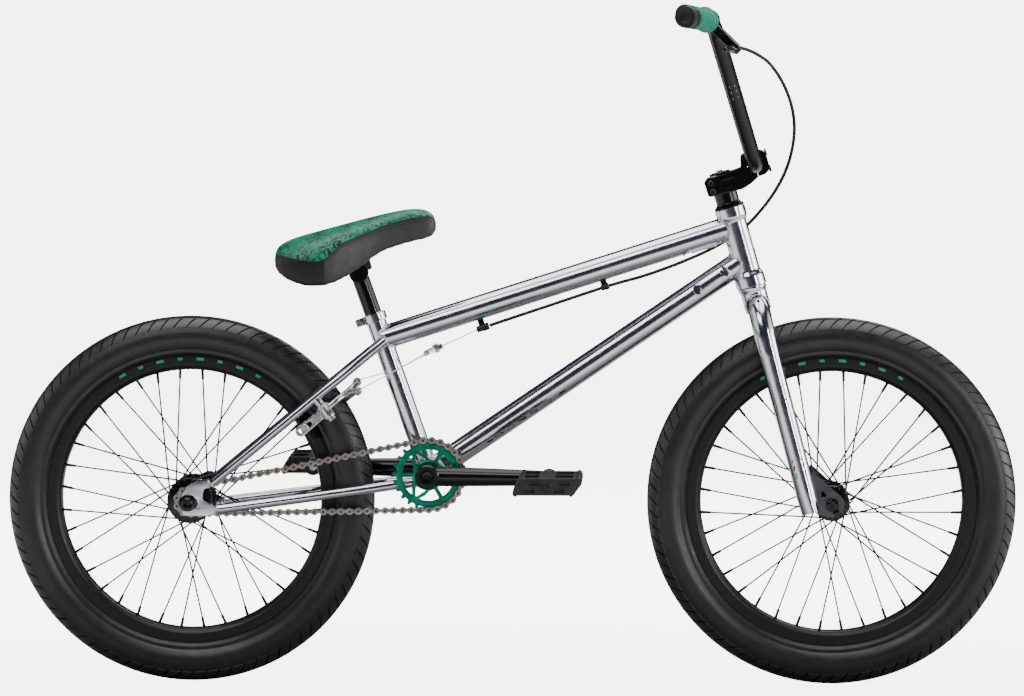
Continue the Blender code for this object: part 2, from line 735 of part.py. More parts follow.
def make_crankset():
    matrix = side_matrix(*BB)
    spindle = [(0.0, 70.0), (9.5, 70.0), (9.5, -70.0), (0.0, -70.0)]
    turned("spindle", spindle, matrix, "black_metal", closed=False)
    rim = pitch_radius(SPROCKET_TEETH) - CHAIN_HALF_HEIGHT - GAP
    plate("sprocket", circle((0, 0), rim, 32), 5.0, side_matrix(BB_X, CHAINLINE, BB[2]), "green_anodised",
          holes=(circle((0, 0), 9.9, 24), *sprocket_windows()))
    for side, sign in SIDES:
        make_crank_arm(side, sign)
        make_pedal(side, sign)


def crank_point(side_sign, out, y, up=0.0):
    """A point along a crank arm; the right one points forwards and the left one backwards."""
    return at(BB_X - side_sign * out, side_sign * y, BB[2] + up)


def make_crank_arm(side, sign):
    start, end = crank_point(sign, 0, 46), crank_point(sign, 0, 76)
    arm = cone("crank_arm_" + side, start, end, 17.0, finish="black_metal")
    route = [crank_point(sign, out, y) for out, y in ((8, 62), (60, 66), (120, 73), (CRANK_LENGTH, 79))]
    beam = rod("crank_beam_" + side, route, 13.4, None, 4, [1.1, 1.04, 0.98, 0.78])
    start, end = crank_point(sign, CRANK_LENGTH, 69), crank_point(sign, CRANK_LENGTH, 88)
    unite(arm, beam, cone("crank_end_" + side, start, end, 13.0))
    start, end = crank_point(sign, 0, 40), crank_point(sign, 0, 70 + GAP)
    spindle_bore = cone("cut_crank_spindle_" + side, start, end, 9.5 + GAP)
    start, end = crank_point(sign, 0, 65), crank_point(sign, 0, 90)
    mouth = cone("cut_crank_mouth_" + side, start, end, 7.4, sides=16)
    start, end = crank_point(sign, CRANK_LENGTH, 60), crank_point(sign, CRANK_LENGTH, 100)
    pedal_bore = cone("cut_crank_pedal_" + side, start, end, 6.3, sides=16)
    cut(arm, spindle_bore, mouth, pedal_bore)


PEDAL_INNER = 91.0
PEDAL_OUTER = 199.0
PEDAL_HALF_HEIGHT = 12.3
PEDAL_HALF_LENGTH = 43.0
PEDAL_LEAN = 5.5              # the top face sits ahead of the bottom face by twice this


def make_pedal(side, sign):
    """A platform with a sloping front and back, four windows and a blind bore for its axle."""
    forward = -sign
    centre = crank_point(sign, CRANK_LENGTH, (PEDAL_INNER + PEDAL_OUTER) / 2.0)
    base = Matrix.Translation(centre) @ UPRIGHT
    half, high, lean = PEDAL_HALF_LENGTH, PEDAL_HALF_HEIGHT, PEDAL_LEAN
    outline = [(-half - lean, -high), (half - lean, -high), (half + lean + 1, high - 8), (half + lean, high),
               (-half + lean, high), (-half - lean + 1, -high + 8)]
    outline = [(x * forward if sign < 0 else -x * forward, y) for x, y in outline]
    body = plate("pedal_" + side, outline, PEDAL_OUTER - PEDAL_INNER, base, "dark_plastic")
    for end in (-1.0, 1.0):
        for half_side in (-1.0, 1.0):
            place = Matrix.Translation(centre + Vector((end * 24.0, half_side * 24.5, 0.0)) * MM)
            cut(body, box("cut_pedal_%s_%d_%d" % (side, end, half_side), (25.0, 38.0, 60.0), place))
    bore = [crank_point(sign, CRANK_LENGTH, y) for y in (80, 190.5)]
    cut(body, cone("cut_pedal_bore_" + side, *bore, 6.4, sides=16))
    cone("pedal_axle_" + side, crank_point(sign, CRANK_LENGTH, 70), crank_point(sign, CRANK_LENGTH, 190),
         5.9, finish="bearing_steel", sides=16)


# ---- rear brake ----------------------------------------------------------------------------------
PAD_UP = 198.0
PAD_INNER = 19.0
ARM_LAYERS = {"right": 22.5, "left": 31.5}        # how far below the stays each upper arm runs
ARM_END_UP = 290.0
ARM_END_SIDE = 33.0
HANGER_UP = 408.0
HANGER_OUT = 55.5
CABLE_RADIUS = 2.5
WIRE_RADIUS = 0.8


def make_brake_arm(side, sign):
    """Slotted pad holder below the pivot, barrel on the stud, and an upper arm over the tyre."""
    pivot = BRAKE_PIVOT_UP, sign * BRAKE_PIVOT_SIDE
    layer = ARM_LAYERS[side]
    start, end = stay_point(*pivot, 14), stay_point(*pivot, 36)
    arm = cone("brake_arm_" + side, start, end, 9.0, finish="silver_alloy", sides=20)
    ways = ((BRAKE_PIVOT_UP, 43), (262, 38), (279, 20), (287, -6), (ARM_END_UP, -ARM_END_SIDE))
    route = smooth_path([stay_point(up, sign * y, layer) for up, y in ways], 2)
    beam = rod("brake_beam_" + side, route, 4.1, None, 2)
    tip = cone("brake_tip_" + side, stay_point(ARM_END_UP, -sign * (ARM_END_SIDE - 1), layer),
               stay_point(ARM_END_UP, -sign * (ARM_END_SIDE + 8), layer), 6.5, sides=12)
    lean = Matrix.Rotation(math.radians(-STAY_ANGLE), 4, "Y")
    holder = Matrix.Translation(stay_point(205, sign * 41.5, 24)) @ lean @ UPRIGHT
    outline = arc((22.0, 0.0), 7.0, -90.0, 90.0, 4) + arc((-15.0, 0.0), 8.0, 90.0, 270.0, 6)
    slot = arc((-15.0, 0.0), 3.3, 90.0, 270.0, 4) + arc((2.0, 0.0), 3.3, -90.0, 90.0, 4)
    hanger = plate("brake_holder_" + side, outline, 6.0, holder, None, holes=(slot[::-1],))
    unite(arm, beam, tip, hanger)
    cut(arm, cone("cut_brake_bore_" + side, stay_point(*pivot, 5), stay_point(*pivot, 45), 4.4, sides=12))


def make_brake_pad(side, sign):
    """A curved-along-the-rim block with a threaded stud through the holder's slot."""
    lean = Matrix.Rotation(math.radians(-STAY_ANGLE), 4, "Y")
    place = Matrix.Translation(stay_point(PAD_UP, sign * (PAD_INNER + 5.5), 24)) @ lean
    pad = box("brake_pad_" + side, (11.0, 11.0, 50.0), place, "black_rubber")
    back = stay_point(PAD_UP, sign * (PAD_INNER + 8), 24)
    stud = cone("pad_stud_" + side, back, stay_point(PAD_UP, sign * 53, 24), 2.9, sides=12)
    nut_start, nut_end = stay_point(PAD_UP, sign * 45.0, 24), stay_point(PAD_UP, sign * 49.0, 24)
    nut = cone("pad_nut_" + side, nut_start, nut_end, 5.6, sides=6)
    shoulder = cone("pad_shoulder_" + side, back, stay_point(PAD_UP, sign * 38.0, 24), 4.6, sides=12)
    unite(pad, stud, nut, shoulder)


def make_hanger():
    """The yoke that joins the brake wire to the straddle wire."""
    outline = [
        (-11.0, -9.0), (-4.0, -10.5), (4.0, -4.0), (13.0, -3.4), (13.0, 3.4), (4.0, 4.0),
        (-4.0, 10.5), (-11.0, 9.0),
    ]
    place = Matrix.Translation(stay_point(HANGER_UP, 0, HANGER_OUT))
    turn = Matrix.Rotation(math.radians(-24.4), 4, "Y")
    return plate("cable_hanger", outline, 6.0, place @ turn, "silver_alloy")


def make_straddle_wire():
    route = []
    for side, sign in SIDES:
        layer = ARM_LAYERS["left" if side == "right" else "right"]
        leg = [
            stay_point(ARM_END_UP + 7.6, sign * (ARM_END_SIDE + 3), layer),
            stay_point(345, sign * 21.0, 43.0),
            stay_point(HANGER_UP - 21, sign * 4.5, HANGER_OUT - 4.0),
        ]
        route += leg if sign < 0 else leg[::-1]
    rod("straddle_wire", smooth_path(route, 2), WIRE_RADIUS, "bearing_steel", 1)


STOP_POINT = (421.8, 0.0, 515.1)
CLIP_POINT = (599.0, 0.0, 574.9)
LEVER_EXIT = (800.0, -192.0, 922.0)
FRONT_CABLE = (
    LEVER_EXIT, (818.0, -186, 912.0), (831.0, -172, 899.5), (845.0, -157, 881.0), (855.5, -140, 861.0),
    (863.0, -121, 840.0), (867.3, -102, 818.0), (868.0, -82, 795.0), (864.0, -58, 767.0), (856.5, -36, 742.0),
    (846.0, -14, 719.4), (833.0, 8, 698.0), (819.0, 26, 679.5), (805.0, 35, 663.8), (787.0, 35.5, 649.0),
    (768.0, 31, 637.0), (745.0, 23, 625.3), (720.0, 14, 614.6), (690.0, 5, 603.0), (655.0, 0, 591.0),
    (625.0, 0, 582.6),
)


def cable_line(share):
    """A point on the straight run under the top tube, from the clip to the stop."""
    return at(*CLIP_POINT).lerp(at(*STOP_POINT), share)


def make_cables():
    start = cable_line(0.001)
    front = [at(*point) for point in FRONT_CABLE] + [cable_line(-0.001)]
    rod("front_brake_housing", smooth_path(front, 2), CABLE_RADIUS, "black_rubber", 1)
    rod("rear_brake_housing", [start, cable_line(0.94)], CABLE_RADIUS, "black_rubber", 2)
    hanger = stay_point(HANGER_UP, 0, HANGER_OUT)
    stop_end = cable_line(1.055)
    pull = (stop_end - hanger).normalized()
    rod("brake_wire", [hanger + pull * 13.6 * MM, stop_end], WIRE_RADIUS, "bearing_steel", 2)
    lift = Vector((-math.sin(math.radians(17.9)), 0.0, math.cos(math.radians(17.9)))) * MM
    for name, first, last, radius in (("cable_stop", 0.945, 1.045, 5.4), ("cable_clip", -0.032, 0.032, 5.0)):
        barrel = cone(name, cable_line(first), cable_line(last), radius, finish="black_metal", sides=16)
        middle = cable_line((first + last) / 2.0)
        foot = cone(name + "_foot", middle, middle + lift * 15.0, 4.2, sides=12)
        unite(barrel, foot)
        bore = WIRE_RADIUS + 0.6 if name == "cable_stop" else CABLE_RADIUS + 0.4
        cut(barrel, cone("cut_" + name, cable_line(first - 0.2), cable_line(last + 0.2), bore, sides=16),
            top_tube_cutter("cut_tube_" + name))


# ---- brake lever ---------------------------------------------------------------------------------
CLAMP_SIDE = 215.0            # lever clamp's distance from the centre plane
LEVER_REACH = 54.0
LEVER_DROP = 44.0             # degrees below the horizontal


def lever_axes():
    """Outwards along the grip, forwards and down along the perch, and the blade's pivot axis."""
    outward = (grip_point(BAR_HALF_WIDTH, -1.0) - grip_point(GRIP_START, -1.0)).normalized()
    lean = math.radians(LEVER_DROP)
    reach = Vector((math.cos(lean), 0.0, -math.sin(lean)))
    reach = (reach - outward * reach.dot(outward)).normalized()
    return outward, reach, outward.cross(reach)


def make_lever():
    outward, reach, pivot = lever_axes()
    centre = grip_point(CLAMP_SIDE, -1.0)
    turn = Matrix((reach, outward, reach.cross(outward))).transposed().to_4x4()
    flat = Matrix.Translation(centre) @ turn
    half = outward * 7.0 * MM
    clamp = cone("lever_perch", centre - half, centre + half, 16.5, finish="black_metal")
    outline = [(8.0, -7.0), (30.0, -15.0), (58.0, -13.0), (61.0, -4.0), (58.0, 4.0), (30.0, 7.0), (8.0, 7.0)]
    body = plate("perch_body", outline, 13.0, flat)
    exit_start = centre + reach * 52.0 * MM
    start, end = exit_start - outward * 5.0 * MM, exit_start - outward * 24.0 * MM
    barrel = cone("perch_barrel", start, end, 5.0, sides=12)
    unite(clamp, body, barrel)
    bar = (grip_point(CLAMP_SIDE - 30, -1.0), grip_point(CLAMP_SIDE + 30, -1.0))
    slot = Matrix.Translation(centre + reach * 52.0 * MM + outward * 6.0 * MM) @ turn
    cut(clamp, cone("cut_perch_bar", *bar, BAR_RADIUS + GAP), box("cut_perch_slot", (30.0, 24.0, 7.4), slot))
    blade = [
        (-6.0, -3.0), (6.0, -5.0), (9.0, 6.0), (10.0, 40.0), (8.5, 78.0), (11.0, 96.0), (6.5, 101.0),
        (0.5, 92.0), (-0.5, 60.0), (-1.0, 30.0), (-6.0, 6.0),
    ]
    hinge = Matrix.Translation(centre + reach * LEVER_REACH * MM - outward * 0.5 * MM) @ turn
    plate("lever_blade", blade, 6.6, hinge, "black_metal")


# ---- seat ----------------------------------------------------------------------------------------
POST_RADIUS = 12.6
POST_BOTTOM = 130.0
POST_TOP = 298.0
SADDLE_PIVOT = 306.0
POST_HEAD_RADIUS = 14.0
SADDLE_SECTIONS = (
    # x, half width, top, skirt bottom, underside
    (126.0, 46.0, 629.0, 611.0, 616.0),
    (141.0, 64.0, 641.5, 596.0, 620.0),
    (178.0, 76.0, 652.0, 583.0, 628.0),
    (216.0, 68.0, 662.0, 588.0, 637.0),
    (252.0, 45.0, 671.5, 610.0, 645.0),
    (290.0, 30.0, 681.5, 637.0, 657.0),
    (328.0, 23.0, 687.5, 646.0, 666.0),
    (352.0, 16.0, 672.0, 655.0, 661.0),
)


def saddle_ring(x, width, top, skirt, under):
    """One cross-section of the cover, from the crown round one side and back underneath."""
    half = [
        (0.45 * width, top - 0.02 * width), (0.86 * width, top - 0.16 * width - 2.0),
        (width, (top + skirt) / 2.0), (0.93 * width, skirt), (0.78 * width, skirt + 1.0),
        (0.66 * width, under),
    ]
    right = [(-y, z) for y, z in half]
    return [at(x, y, z) for y, z in [(0.0, top), *half, (0.0, under), *reversed(right)]]


def make_saddle():
    """The padded cover: rings of points joined by quads, with one round of subdivision."""
    mesh = bpy.data.meshes.new("saddle_cover")
    build = bmesh.new()
    rings = [[build.verts.new(point) for point in saddle_ring(*section)] for section in SADDLE_SECTIONS]
    count = len(rings[0])
    for first, last in zip(rings, rings[1:]):
        for column in range(count):
            after = (column + 1) % count
            build.faces.new((first[column], first[after], last[after], last[column]))
    build.faces.new(rings[0])
    build.faces.new(rings[-1])
    bmesh.ops.recalc_face_normals(build, faces=build.faces)
    build.to_mesh(mesh)
    build.free()
    cover = add_object("saddle_cover", mesh, "saddle_vinyl")
    round_off = cover.modifiers.new("round", "SUBSURF")
    round_off.levels = 1
    round_off.render_levels = 1
    smooth(cover, 80.0)


def make_saddle_base():
    """A pan under the cover with the block that sits astride the post's round head."""
    slope = Matrix.Rotation(math.radians(-14.5), 4, "Y")
    outline = [(-55.0, -30.0), (10.0, -26.0), (57.0, -14.0), (57.0, 14.0), (10.0, 26.0), (-55.0, 30.0)]
    pan_place = Matrix.Translation(at(205.0, 0, 622.0)) @ slope
    base = plate("saddle_base", outline, 4.0, pan_place, "dark_plastic")
    block_place = Matrix.Translation(seat_point(5.0, 0, SADDLE_PIVOT + 18.0)) @ slope
    unite(base, box("saddle_block", (33.0, 24.0, 34.0), block_place))
    cut(base, cone("cut_saddle_block", seat_point(0, -20, SADDLE_PIVOT), seat_point(0, 20, SADDLE_PIVOT),
                   POST_HEAD_RADIUS + GAP, sides=32))


def make_seat_post():
    foot, top = seat_point(0, 0, POST_BOTTOM), seat_point(0, 0, POST_TOP)
    post = tube("seat_post", foot, top, POST_RADIUS, 2.0, "black_metal")
    head = cone("seat_post_head", seat_point(0, -12.2, SADDLE_PIVOT), seat_point(0, 12.2, SADDLE_PIVOT),
                POST_HEAD_RADIUS, sides=32)
    unite(post, head)


# ---- joints' axes --------------------------------------------------------------------------------
def pivot_empty(name, position, children, parent=None):
    """An empty on a joint's axis that carries the pieces which move with it."""
    empty = bpy.data.objects.new(name, None)
    PARTS.objects.link(empty)
    empty.matrix_world = Matrix.Translation(position)
    if parent is not None:
        empty.parent = parent
        empty.matrix_parent_inverse = parent.matrix_world.inverted()
    bpy.context.view_layer.update()
    for child in children:
        item = bpy.data.objects[child]
        item.parent = empty
        item.matrix_parent_inverse = empty.matrix_world.inverted()
    return empty


def add_pivots():
    steering = pivot_empty("steering_axis", head_point(0, 0, 0), (
        "fork_steerer", "fork_leg_right", "fork_leg_left", "headset_cap", "stem", "stem_faceplate", "handlebar",
        "crossbar", "grip_right", "grip_left", "lever_perch", "front_axle", "front_brake_housing"))
    pivot_empty("front_wheel_axis", at(*FRONT_AXLE), ("front_tyre", "front_rim", "front_hub"), steering)
    pivot_empty("rear_wheel_axis", at(*REAR_AXLE), ("rear_tyre", "rear_rim", "rear_hub"))
    pivot_empty("driver_axis", at(*REAR_AXLE), ("driver_cog",))
    cranks = pivot_empty("crank_axis", at(*BB), (
        "spindle", "sprocket", "crank_arm_right", "crank_arm_left", "pedal_axle_right", "pedal_axle_left"))
    for side, sign in SIDES:
        pivot_empty("pedal_axis_" + side, crank_point(sign, CRANK_LENGTH, 145), ("pedal_" + side,), cranks)
        pivot_empty("brake_pivot_" + side, stay_point(BRAKE_PIVOT_UP, sign * BRAKE_PIVOT_SIDE, 0),
                    ("brake_arm_" + side, "brake_pad_" + side))
    yoke = ("cable_hanger", "straddle_wire", "brake_wire")
    pivot_empty("hanger_slide", stay_point(HANGER_UP, 0, HANGER_OUT), yoke)
    outward, reach, _ = lever_axes()
    hinge = grip_point(CLAMP_SIDE, -1.0) + reach * LEVER_REACH * MM
    pivot_empty("lever_pivot", hinge, ("lever_blade",), steering)
    post = pivot_empty("seat_post_slide", seat_point(0, 0, SEAT_TUBE_LENGTH), ("seat_post",))
    pivot_empty("saddle_tilt", seat_point(0, 0, SADDLE_PIVOT), ("saddle_base", "saddle_cover"), post)


def build_frame():
    make_head_tube()
    make_main_tubes()
    make_bottom_bracket()
    for side, sign in SIDES:
        make_chainstay(side, sign)
        make_seatstay(side, sign)
        make_dropout(side, sign)
    make_seat_clamp()
    make_headset()


def build_front_end():
    make_fork()
    make_stem()
    make_bars()
    for side, sign in SIDES:
        make_grip(side, sign)
    make_lever()


def build_running_gear():
    make_wheels()
    make_axle("rear_axle", REAR_AXLE, 7.0, DROPOUT_INNER + DROPOUT_THICKNESS, 12.2, 72.5)
    make_axle("front_axle", FRONT_AXLE, 5.0, FRONT_DROPOUT_INNER + 6.0, 9.5, 66.0)
    make_chain()
    make_crankset()


def build_brake():
    for side, sign in SIDES:
        make_brake_arm(side, sign)
        make_brake_pad(side, sign)
    make_hanger()
    make_straddle_wire()
    make_cables()


def build_seat():
    make_seat_post()
    make_saddle_base()
    make_saddle()


build_frame()
build_front_end()
build_running_gear()
build_brake()
build_seat()
add_pivots()
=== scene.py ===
"""The looks of a 20 inch freestyle BMX bicycle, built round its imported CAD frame.

Lengths are millimetres.  A point is (x, y, z): x forwards from the rear axle, y to the rider's
left, z up from the ground, as in the CAD source.  Blender's own units are metres.
"""

import math

import bmesh
import bpy
import numpy as np
from mathutils import Matrix, Vector
from mathutils.bvhtree import BVHTree


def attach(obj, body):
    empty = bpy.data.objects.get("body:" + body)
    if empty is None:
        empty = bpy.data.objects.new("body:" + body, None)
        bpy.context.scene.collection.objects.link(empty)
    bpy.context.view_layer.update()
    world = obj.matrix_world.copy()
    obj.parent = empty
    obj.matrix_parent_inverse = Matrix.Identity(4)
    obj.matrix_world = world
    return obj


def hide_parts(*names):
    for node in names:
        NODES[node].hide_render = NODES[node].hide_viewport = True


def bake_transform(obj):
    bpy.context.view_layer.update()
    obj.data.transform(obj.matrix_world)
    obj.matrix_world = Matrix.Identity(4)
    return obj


MM = 0.001

# ---- studio: the strength of each field that reflections see, and what the camera sees -----------
OVERHEAD = 4.6
WALL = 0.055
SIDE_PANELS = 1.5
STRIP = 8.0
FLOOR_LIFT = 5.7
PALE = (1.0, 0.985, 0.955)
LENS = 162.56
SENSOR_WIDTH = 36.0
CAMERA_PLACE = (0.24151, -6.65414, 1.0069)
CAMERA_TURN = (math.pi / 2.0 - 0.07806, 0.0, 0.03602)

# ---- dimensions shared with the CAD source -------------------------------------------------------
WHEELBASE = 926.0
TYRE_RADIUS = 266.0
TYRE_SECTION = 29.7
RIM_INNER = 188.0
RIM_OUTER = 209.0
RIM_HALF = 17.0
CHAIN_PITCH = 12.7
CHAIN_LINKS = 72
SPROCKET_TEETH = 25
DRIVER_TEETH = 9
CHAINLINE = -42.0
BB_RISE = 39.6
CRANK_LENGTH = 175.0
HEAD_ANGLE = 74.0
SEAT_ANGLE = 70.5
HEAD_TUBE_LENGTH = 118.0
HEAD_TUBE_RADIUS = 18.6
HEAD_TUBE_FLARE = 22.0
SEAT_TUBE_LENGTH = 244.0
SEAT_TUBE_RADIUS = 14.3
MAIN_TUBE_RADIUS = 17.5
TOP_TUBE_AT_SEAT = 206.0
TOP_TUBE_AT_HEAD = 90.0
DOWN_TUBE_AT_HEAD = 40.0
BB_SHELL_RADIUS = 23.0
BB_SHELL_HALF = 36.5
STAY_ANGLE = 39.5
STAY_RADIUS = 7.2
BAR_RADIUS = 11.1
BAR_HALF_WIDTH = 368.0
GRIP_START = 225.0
POST_RADIUS = 12.6
SADDLE_PIVOT = 306.0
SIDES = (("right", -1.0), ("left", 1.0))

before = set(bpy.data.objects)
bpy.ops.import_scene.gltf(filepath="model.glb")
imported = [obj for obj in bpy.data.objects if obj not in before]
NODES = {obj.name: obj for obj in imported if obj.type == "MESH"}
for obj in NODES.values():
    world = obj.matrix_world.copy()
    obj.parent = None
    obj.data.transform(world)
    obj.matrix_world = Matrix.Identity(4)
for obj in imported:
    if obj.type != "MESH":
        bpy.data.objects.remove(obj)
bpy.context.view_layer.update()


def at(x, y, z):
    return Vector((x - WHEELBASE / 2.0, y, z)) * MM


def centre_distance():
    """Bottom bracket to rear axle, so that the chain closes with a whole number of links."""
    low, high = 300.0, 420.0
    large = SPROCKET_TEETH * CHAIN_PITCH / math.tau
    small = DRIVER_TEETH * CHAIN_PITCH / math.tau
    while high - low > 0.001:
        middle = (low + high) / 2.0
        lean = math.asin((large - small) / middle)
        length = 2.0 * middle * math.cos(lean) + large * (math.pi + 2.0 * lean) + small * (
            math.pi - 2.0 * lean
        )
        if length > CHAIN_LINKS * CHAIN_PITCH:
            high = middle
        else:
            low = middle
    return low


BB_X = math.sqrt(centre_distance() ** 2 - BB_RISE**2)
BB = (BB_X, 0.0, TYRE_RADIUS + BB_RISE)
REAR_AXLE = (0.0, 0.0, TYRE_RADIUS)
FRONT_AXLE = (WHEELBASE, 0.0, TYRE_RADIUS)
UPRIGHT = Matrix.Rotation(math.radians(90.0), 4, "X")


def tilted_frame(foot, angle):
    return Matrix.Translation(at(*foot)) @ Matrix.Rotation(math.radians(angle - 90.0), 4, "Y")


HEAD = tilted_frame((810.3, 0.0, 576.4), HEAD_ANGLE)
SEAT = tilted_frame(BB, SEAT_ANGLE)


def head_point(forward, side, height):
    return HEAD @ (Vector((forward, side, height)) * MM)


def seat_point(forward, side, height):
    return SEAT @ (Vector((forward, side, height)) * MM)


def stay_point(up, side, out):
    lean = math.radians(STAY_ANGLE)
    x = up * math.cos(lean) + out * math.sin(lean)
    z = TYRE_RADIUS + up * math.sin(lean) - out * math.cos(lean)
    return at(x, side, z)


def shift(x, y, z):
    """A move in metres from one in millimetres."""
    return Matrix.Translation(Vector((x, y, z)) * MM)


def side_matrix(x, y, z):
    """Local X forwards, local Y up, local Z to the rider's right."""
    return Matrix.Translation(at(x, y, z)) @ UPRIGHT


def along(start, end):
    """Axes at start with Z towards end."""
    return Matrix.Translation(start) @ (end - start).to_track_quat("Z", "Y").to_matrix().to_4x4()


def arc(centre, radius, first, last, steps):
    angles = np.radians(np.linspace(first, last, steps + 1))
    return [(centre[0] + radius * math.cos(a), centre[1] + radius * math.sin(a)) for a in angles]


def circle(centre, radius, steps=24):
    return arc(centre, radius, 0.0, 360.0, steps)[:-1]


def polar(points, turn):
    """Flat points from (radius, degrees), turned by so many degrees."""
    return [(r * math.cos(math.radians(a + turn)), r * math.sin(math.radians(a + turn))) for r, a in points]


def smooth_path(points, per_span):
    """A Catmull-Rom curve through the points."""
    ends = [points[0] * 2.0 - points[1], *points, points[-1] * 2.0 - points[-2]]
    path = []
    for index in range(1, len(ends) - 2):
        p0, p1, p2, p3 = ends[index - 1 : index + 3]
        for step in range(per_span):
            t = step / per_span
            path.append(
                0.5 * (2.0 * p1 + (p2 - p0) * t)
                + 0.5 * (2.0 * p0 - 5.0 * p1 + 4.0 * p2 - p3) * t**2
                + 0.5 * (3.0 * p1 - p0 - 3.0 * p2 + p3) * t**3
            )
    path.append(points[-1])
    return path


def rounded_path(corners, radii, steps):
    """Straight runs between the corners, with an arc of the given radius at each inner one."""
    path = [corners[0]]
    for index in range(1, len(corners) - 1):
        corner = corners[index]
        back = (corners[index - 1] - corner).normalized()
        ahead = (corners[index + 1] - corner).normalized()
        half = back.angle(ahead) / 2.0
        radius = radii[index - 1] * MM
        middle = corner + (back + ahead).normalized() * (radius / math.sin(half))
        first = (corner + back * (radius / math.tan(half)) - middle).normalized()
        last = (corner + ahead * (radius / math.tan(half)) - middle).normalized()
        path += [middle + first.slerp(last, step / steps) * radius for step in range(steps + 1)]
    path.append(corners[-1])
    return path


# ---- materials -----------------------------------------------------------------------------------
class Shader:
    """A Principled material with a few short ways to add nodes to it."""

    def __init__(self, name, **sockets):
        self.material = bpy.data.materials.new(name)
        self.material.use_nodes = True
        self.tree = self.material.node_tree
        self.main = self.tree.nodes["Principled BSDF"]
        self.place = self.add("ShaderNodeTexCoord").outputs["Object"]
        for socket, value in sockets.items():
            self.set(socket.replace("_", " "), value)

    def plug(self, socket, value):
        if isinstance(value, bpy.types.NodeSocket):
            self.tree.links.new(value, socket)
        elif isinstance(value, tuple) and len(value) == 3 and socket.type == "RGBA":
            socket.default_value = (*value, 1.0)
        else:
            socket.default_value = value

    def set(self, socket, value):
        self.plug(self.main.inputs[socket], value)

    def add(self, kind, values=None, **properties):
        node = self.tree.nodes.new(kind)
        for key, value in properties.items():
            setattr(node, key, value)
        for key, value in (values or {}).items():
            self.plug(node.inputs[key], value)
        return node

    def scaled(self, scale, turn=(0.0, 0.0, 0.0), place=None):
        place = self.place if place is None else place
        node = self.add("ShaderNodeMapping", {"Vector": place, "Scale": scale, "Rotation": turn})
        return node.outputs["Vector"]

    def noise(self, scale, detail=3.0, stretch=(1.0, 1.0, 1.0), turn=(0.0, 0.0, 0.0), distortion=0.0):
        values = {
            "Vector": self.scaled(stretch, turn), "Scale": scale, "Detail": detail, "Distortion": distortion
        }
        return self.add("ShaderNodeTexNoise", values).outputs["Fac"]

    def cells(self, scale, feature="DISTANCE_TO_EDGE"):
        values = {"Vector": self.place, "Scale": scale}
        return self.add("ShaderNodeTexVoronoi", values, feature=feature).outputs["Distance"]

    def ramp(self, factor, stops):
        node = self.add("ShaderNodeValToRGB", {"Fac": factor})
        while len(node.color_ramp.elements) < len(stops):
            node.color_ramp.elements.new(0.5)
        for element, (position, colour) in zip(node.color_ramp.elements, stops):
            element.position = position
            element.color = (*colour, 1.0)
        return node.outputs["Color"]

    def range(self, factor, low, high, start=0.0, end=1.0):
        values = {"Value": factor, "From Min": start, "From Max": end, "To Min": low, "To Max": high}
        return self.add("ShaderNodeMapRange", values).outputs["Result"]

    def maths(self, operation, first, second=0.0):
        node = self.add("ShaderNodeMath", operation=operation)
        self.plug(node.inputs[0], first)
        self.plug(node.inputs[1], second)
        return node.outputs[0]

    def mix(self, factor, first, second):
        node = self.add("ShaderNodeMix", data_type="RGBA")
        self.plug(node.inputs["Factor"], factor)
        self.plug(node.inputs[6], first)
        self.plug(node.inputs[7], second)
        return node.outputs[2]

    def tones(self, factor, dark, light, start=0.3, end=0.7):
        """Base colour that runs from dark to light as the factor goes from start to end."""
        self.set("Base Color", self.ramp(factor, ((start, dark), (end, light))))

    def roughness(self, factor, low, high, start=0.0, end=1.0):
        self.set("Roughness", self.range(factor, low, high, start, end))

    def bump(self, height, strength, distance, under=None):
        values = {"Height": height, "Strength": strength, "Distance": distance}
        if under is not None:
            values["Normal"] = under
        result = self.add("ShaderNodeBump", values).outputs["Normal"]
        self.set("Normal", result)
        return result


def polished_steel():
    """Bare steel under clear lacquer: faint brushing, cloudy patches and small dark specks."""
    made = Shader("polished_steel", Metallic=1.0)
    cloud = made.noise(9.0, 5.0)
    made.tones(cloud, (0.54, 0.54, 0.6), (0.66, 0.66, 0.7))
    made.roughness(made.noise(60.0, 4.0), 0.1, 0.19, 0.3, 0.7)
    made.bump(made.noise(900.0, 2.0, (1.0, 1.0, 0.12)), 0.06, 0.0004)
    return made.material


def weld_metal():
    made = Shader("weld_metal", Metallic=1.0)
    made.tones(made.noise(90.0), (0.42, 0.42, 0.46), (0.66, 0.66, 0.69))
    made.roughness(made.noise(240.0), 0.2, 0.42)
    made.bump(made.noise(1500.0), 0.2, 0.0004)
    return made.material


def dark_steel():
    made = Shader("dark_steel", Metallic=0.9)
    made.tones(made.noise(45.0), (0.06, 0.06, 0.065), (0.12, 0.12, 0.13), 0.3, 0.75)
    made.roughness(made.noise(150.0), 0.26, 0.45)
    made.bump(made.noise(1300.0), 0.12, 0.0003)
    return made.material


def black_paint(name, colour, low, high, grain=1800.0):
    """Black paint: fine orange peel, cloudy gloss and a few pale rub marks."""
    made = Shader(name, Metallic=0.0, Specular_IOR_Level=0.35)
    scratch = made.noise(420.0, 2.0, (1.0, 0.07, 1.0), (0.4, 0.2, 0.9))
    marks = made.range(scratch, 0.0, 0.5, 0.74, 0.84)
    pale = tuple(min(1.0, 3.0 * value + 0.02) for value in colour)
    made.set("Base Color", made.mix(marks, colour, pale))
    made.roughness(made.noise(70.0, 4.0), low, high, 0.3, 0.7)
    made.bump(made.noise(grain, 2.0), 0.05, 0.0002)
    return made.material


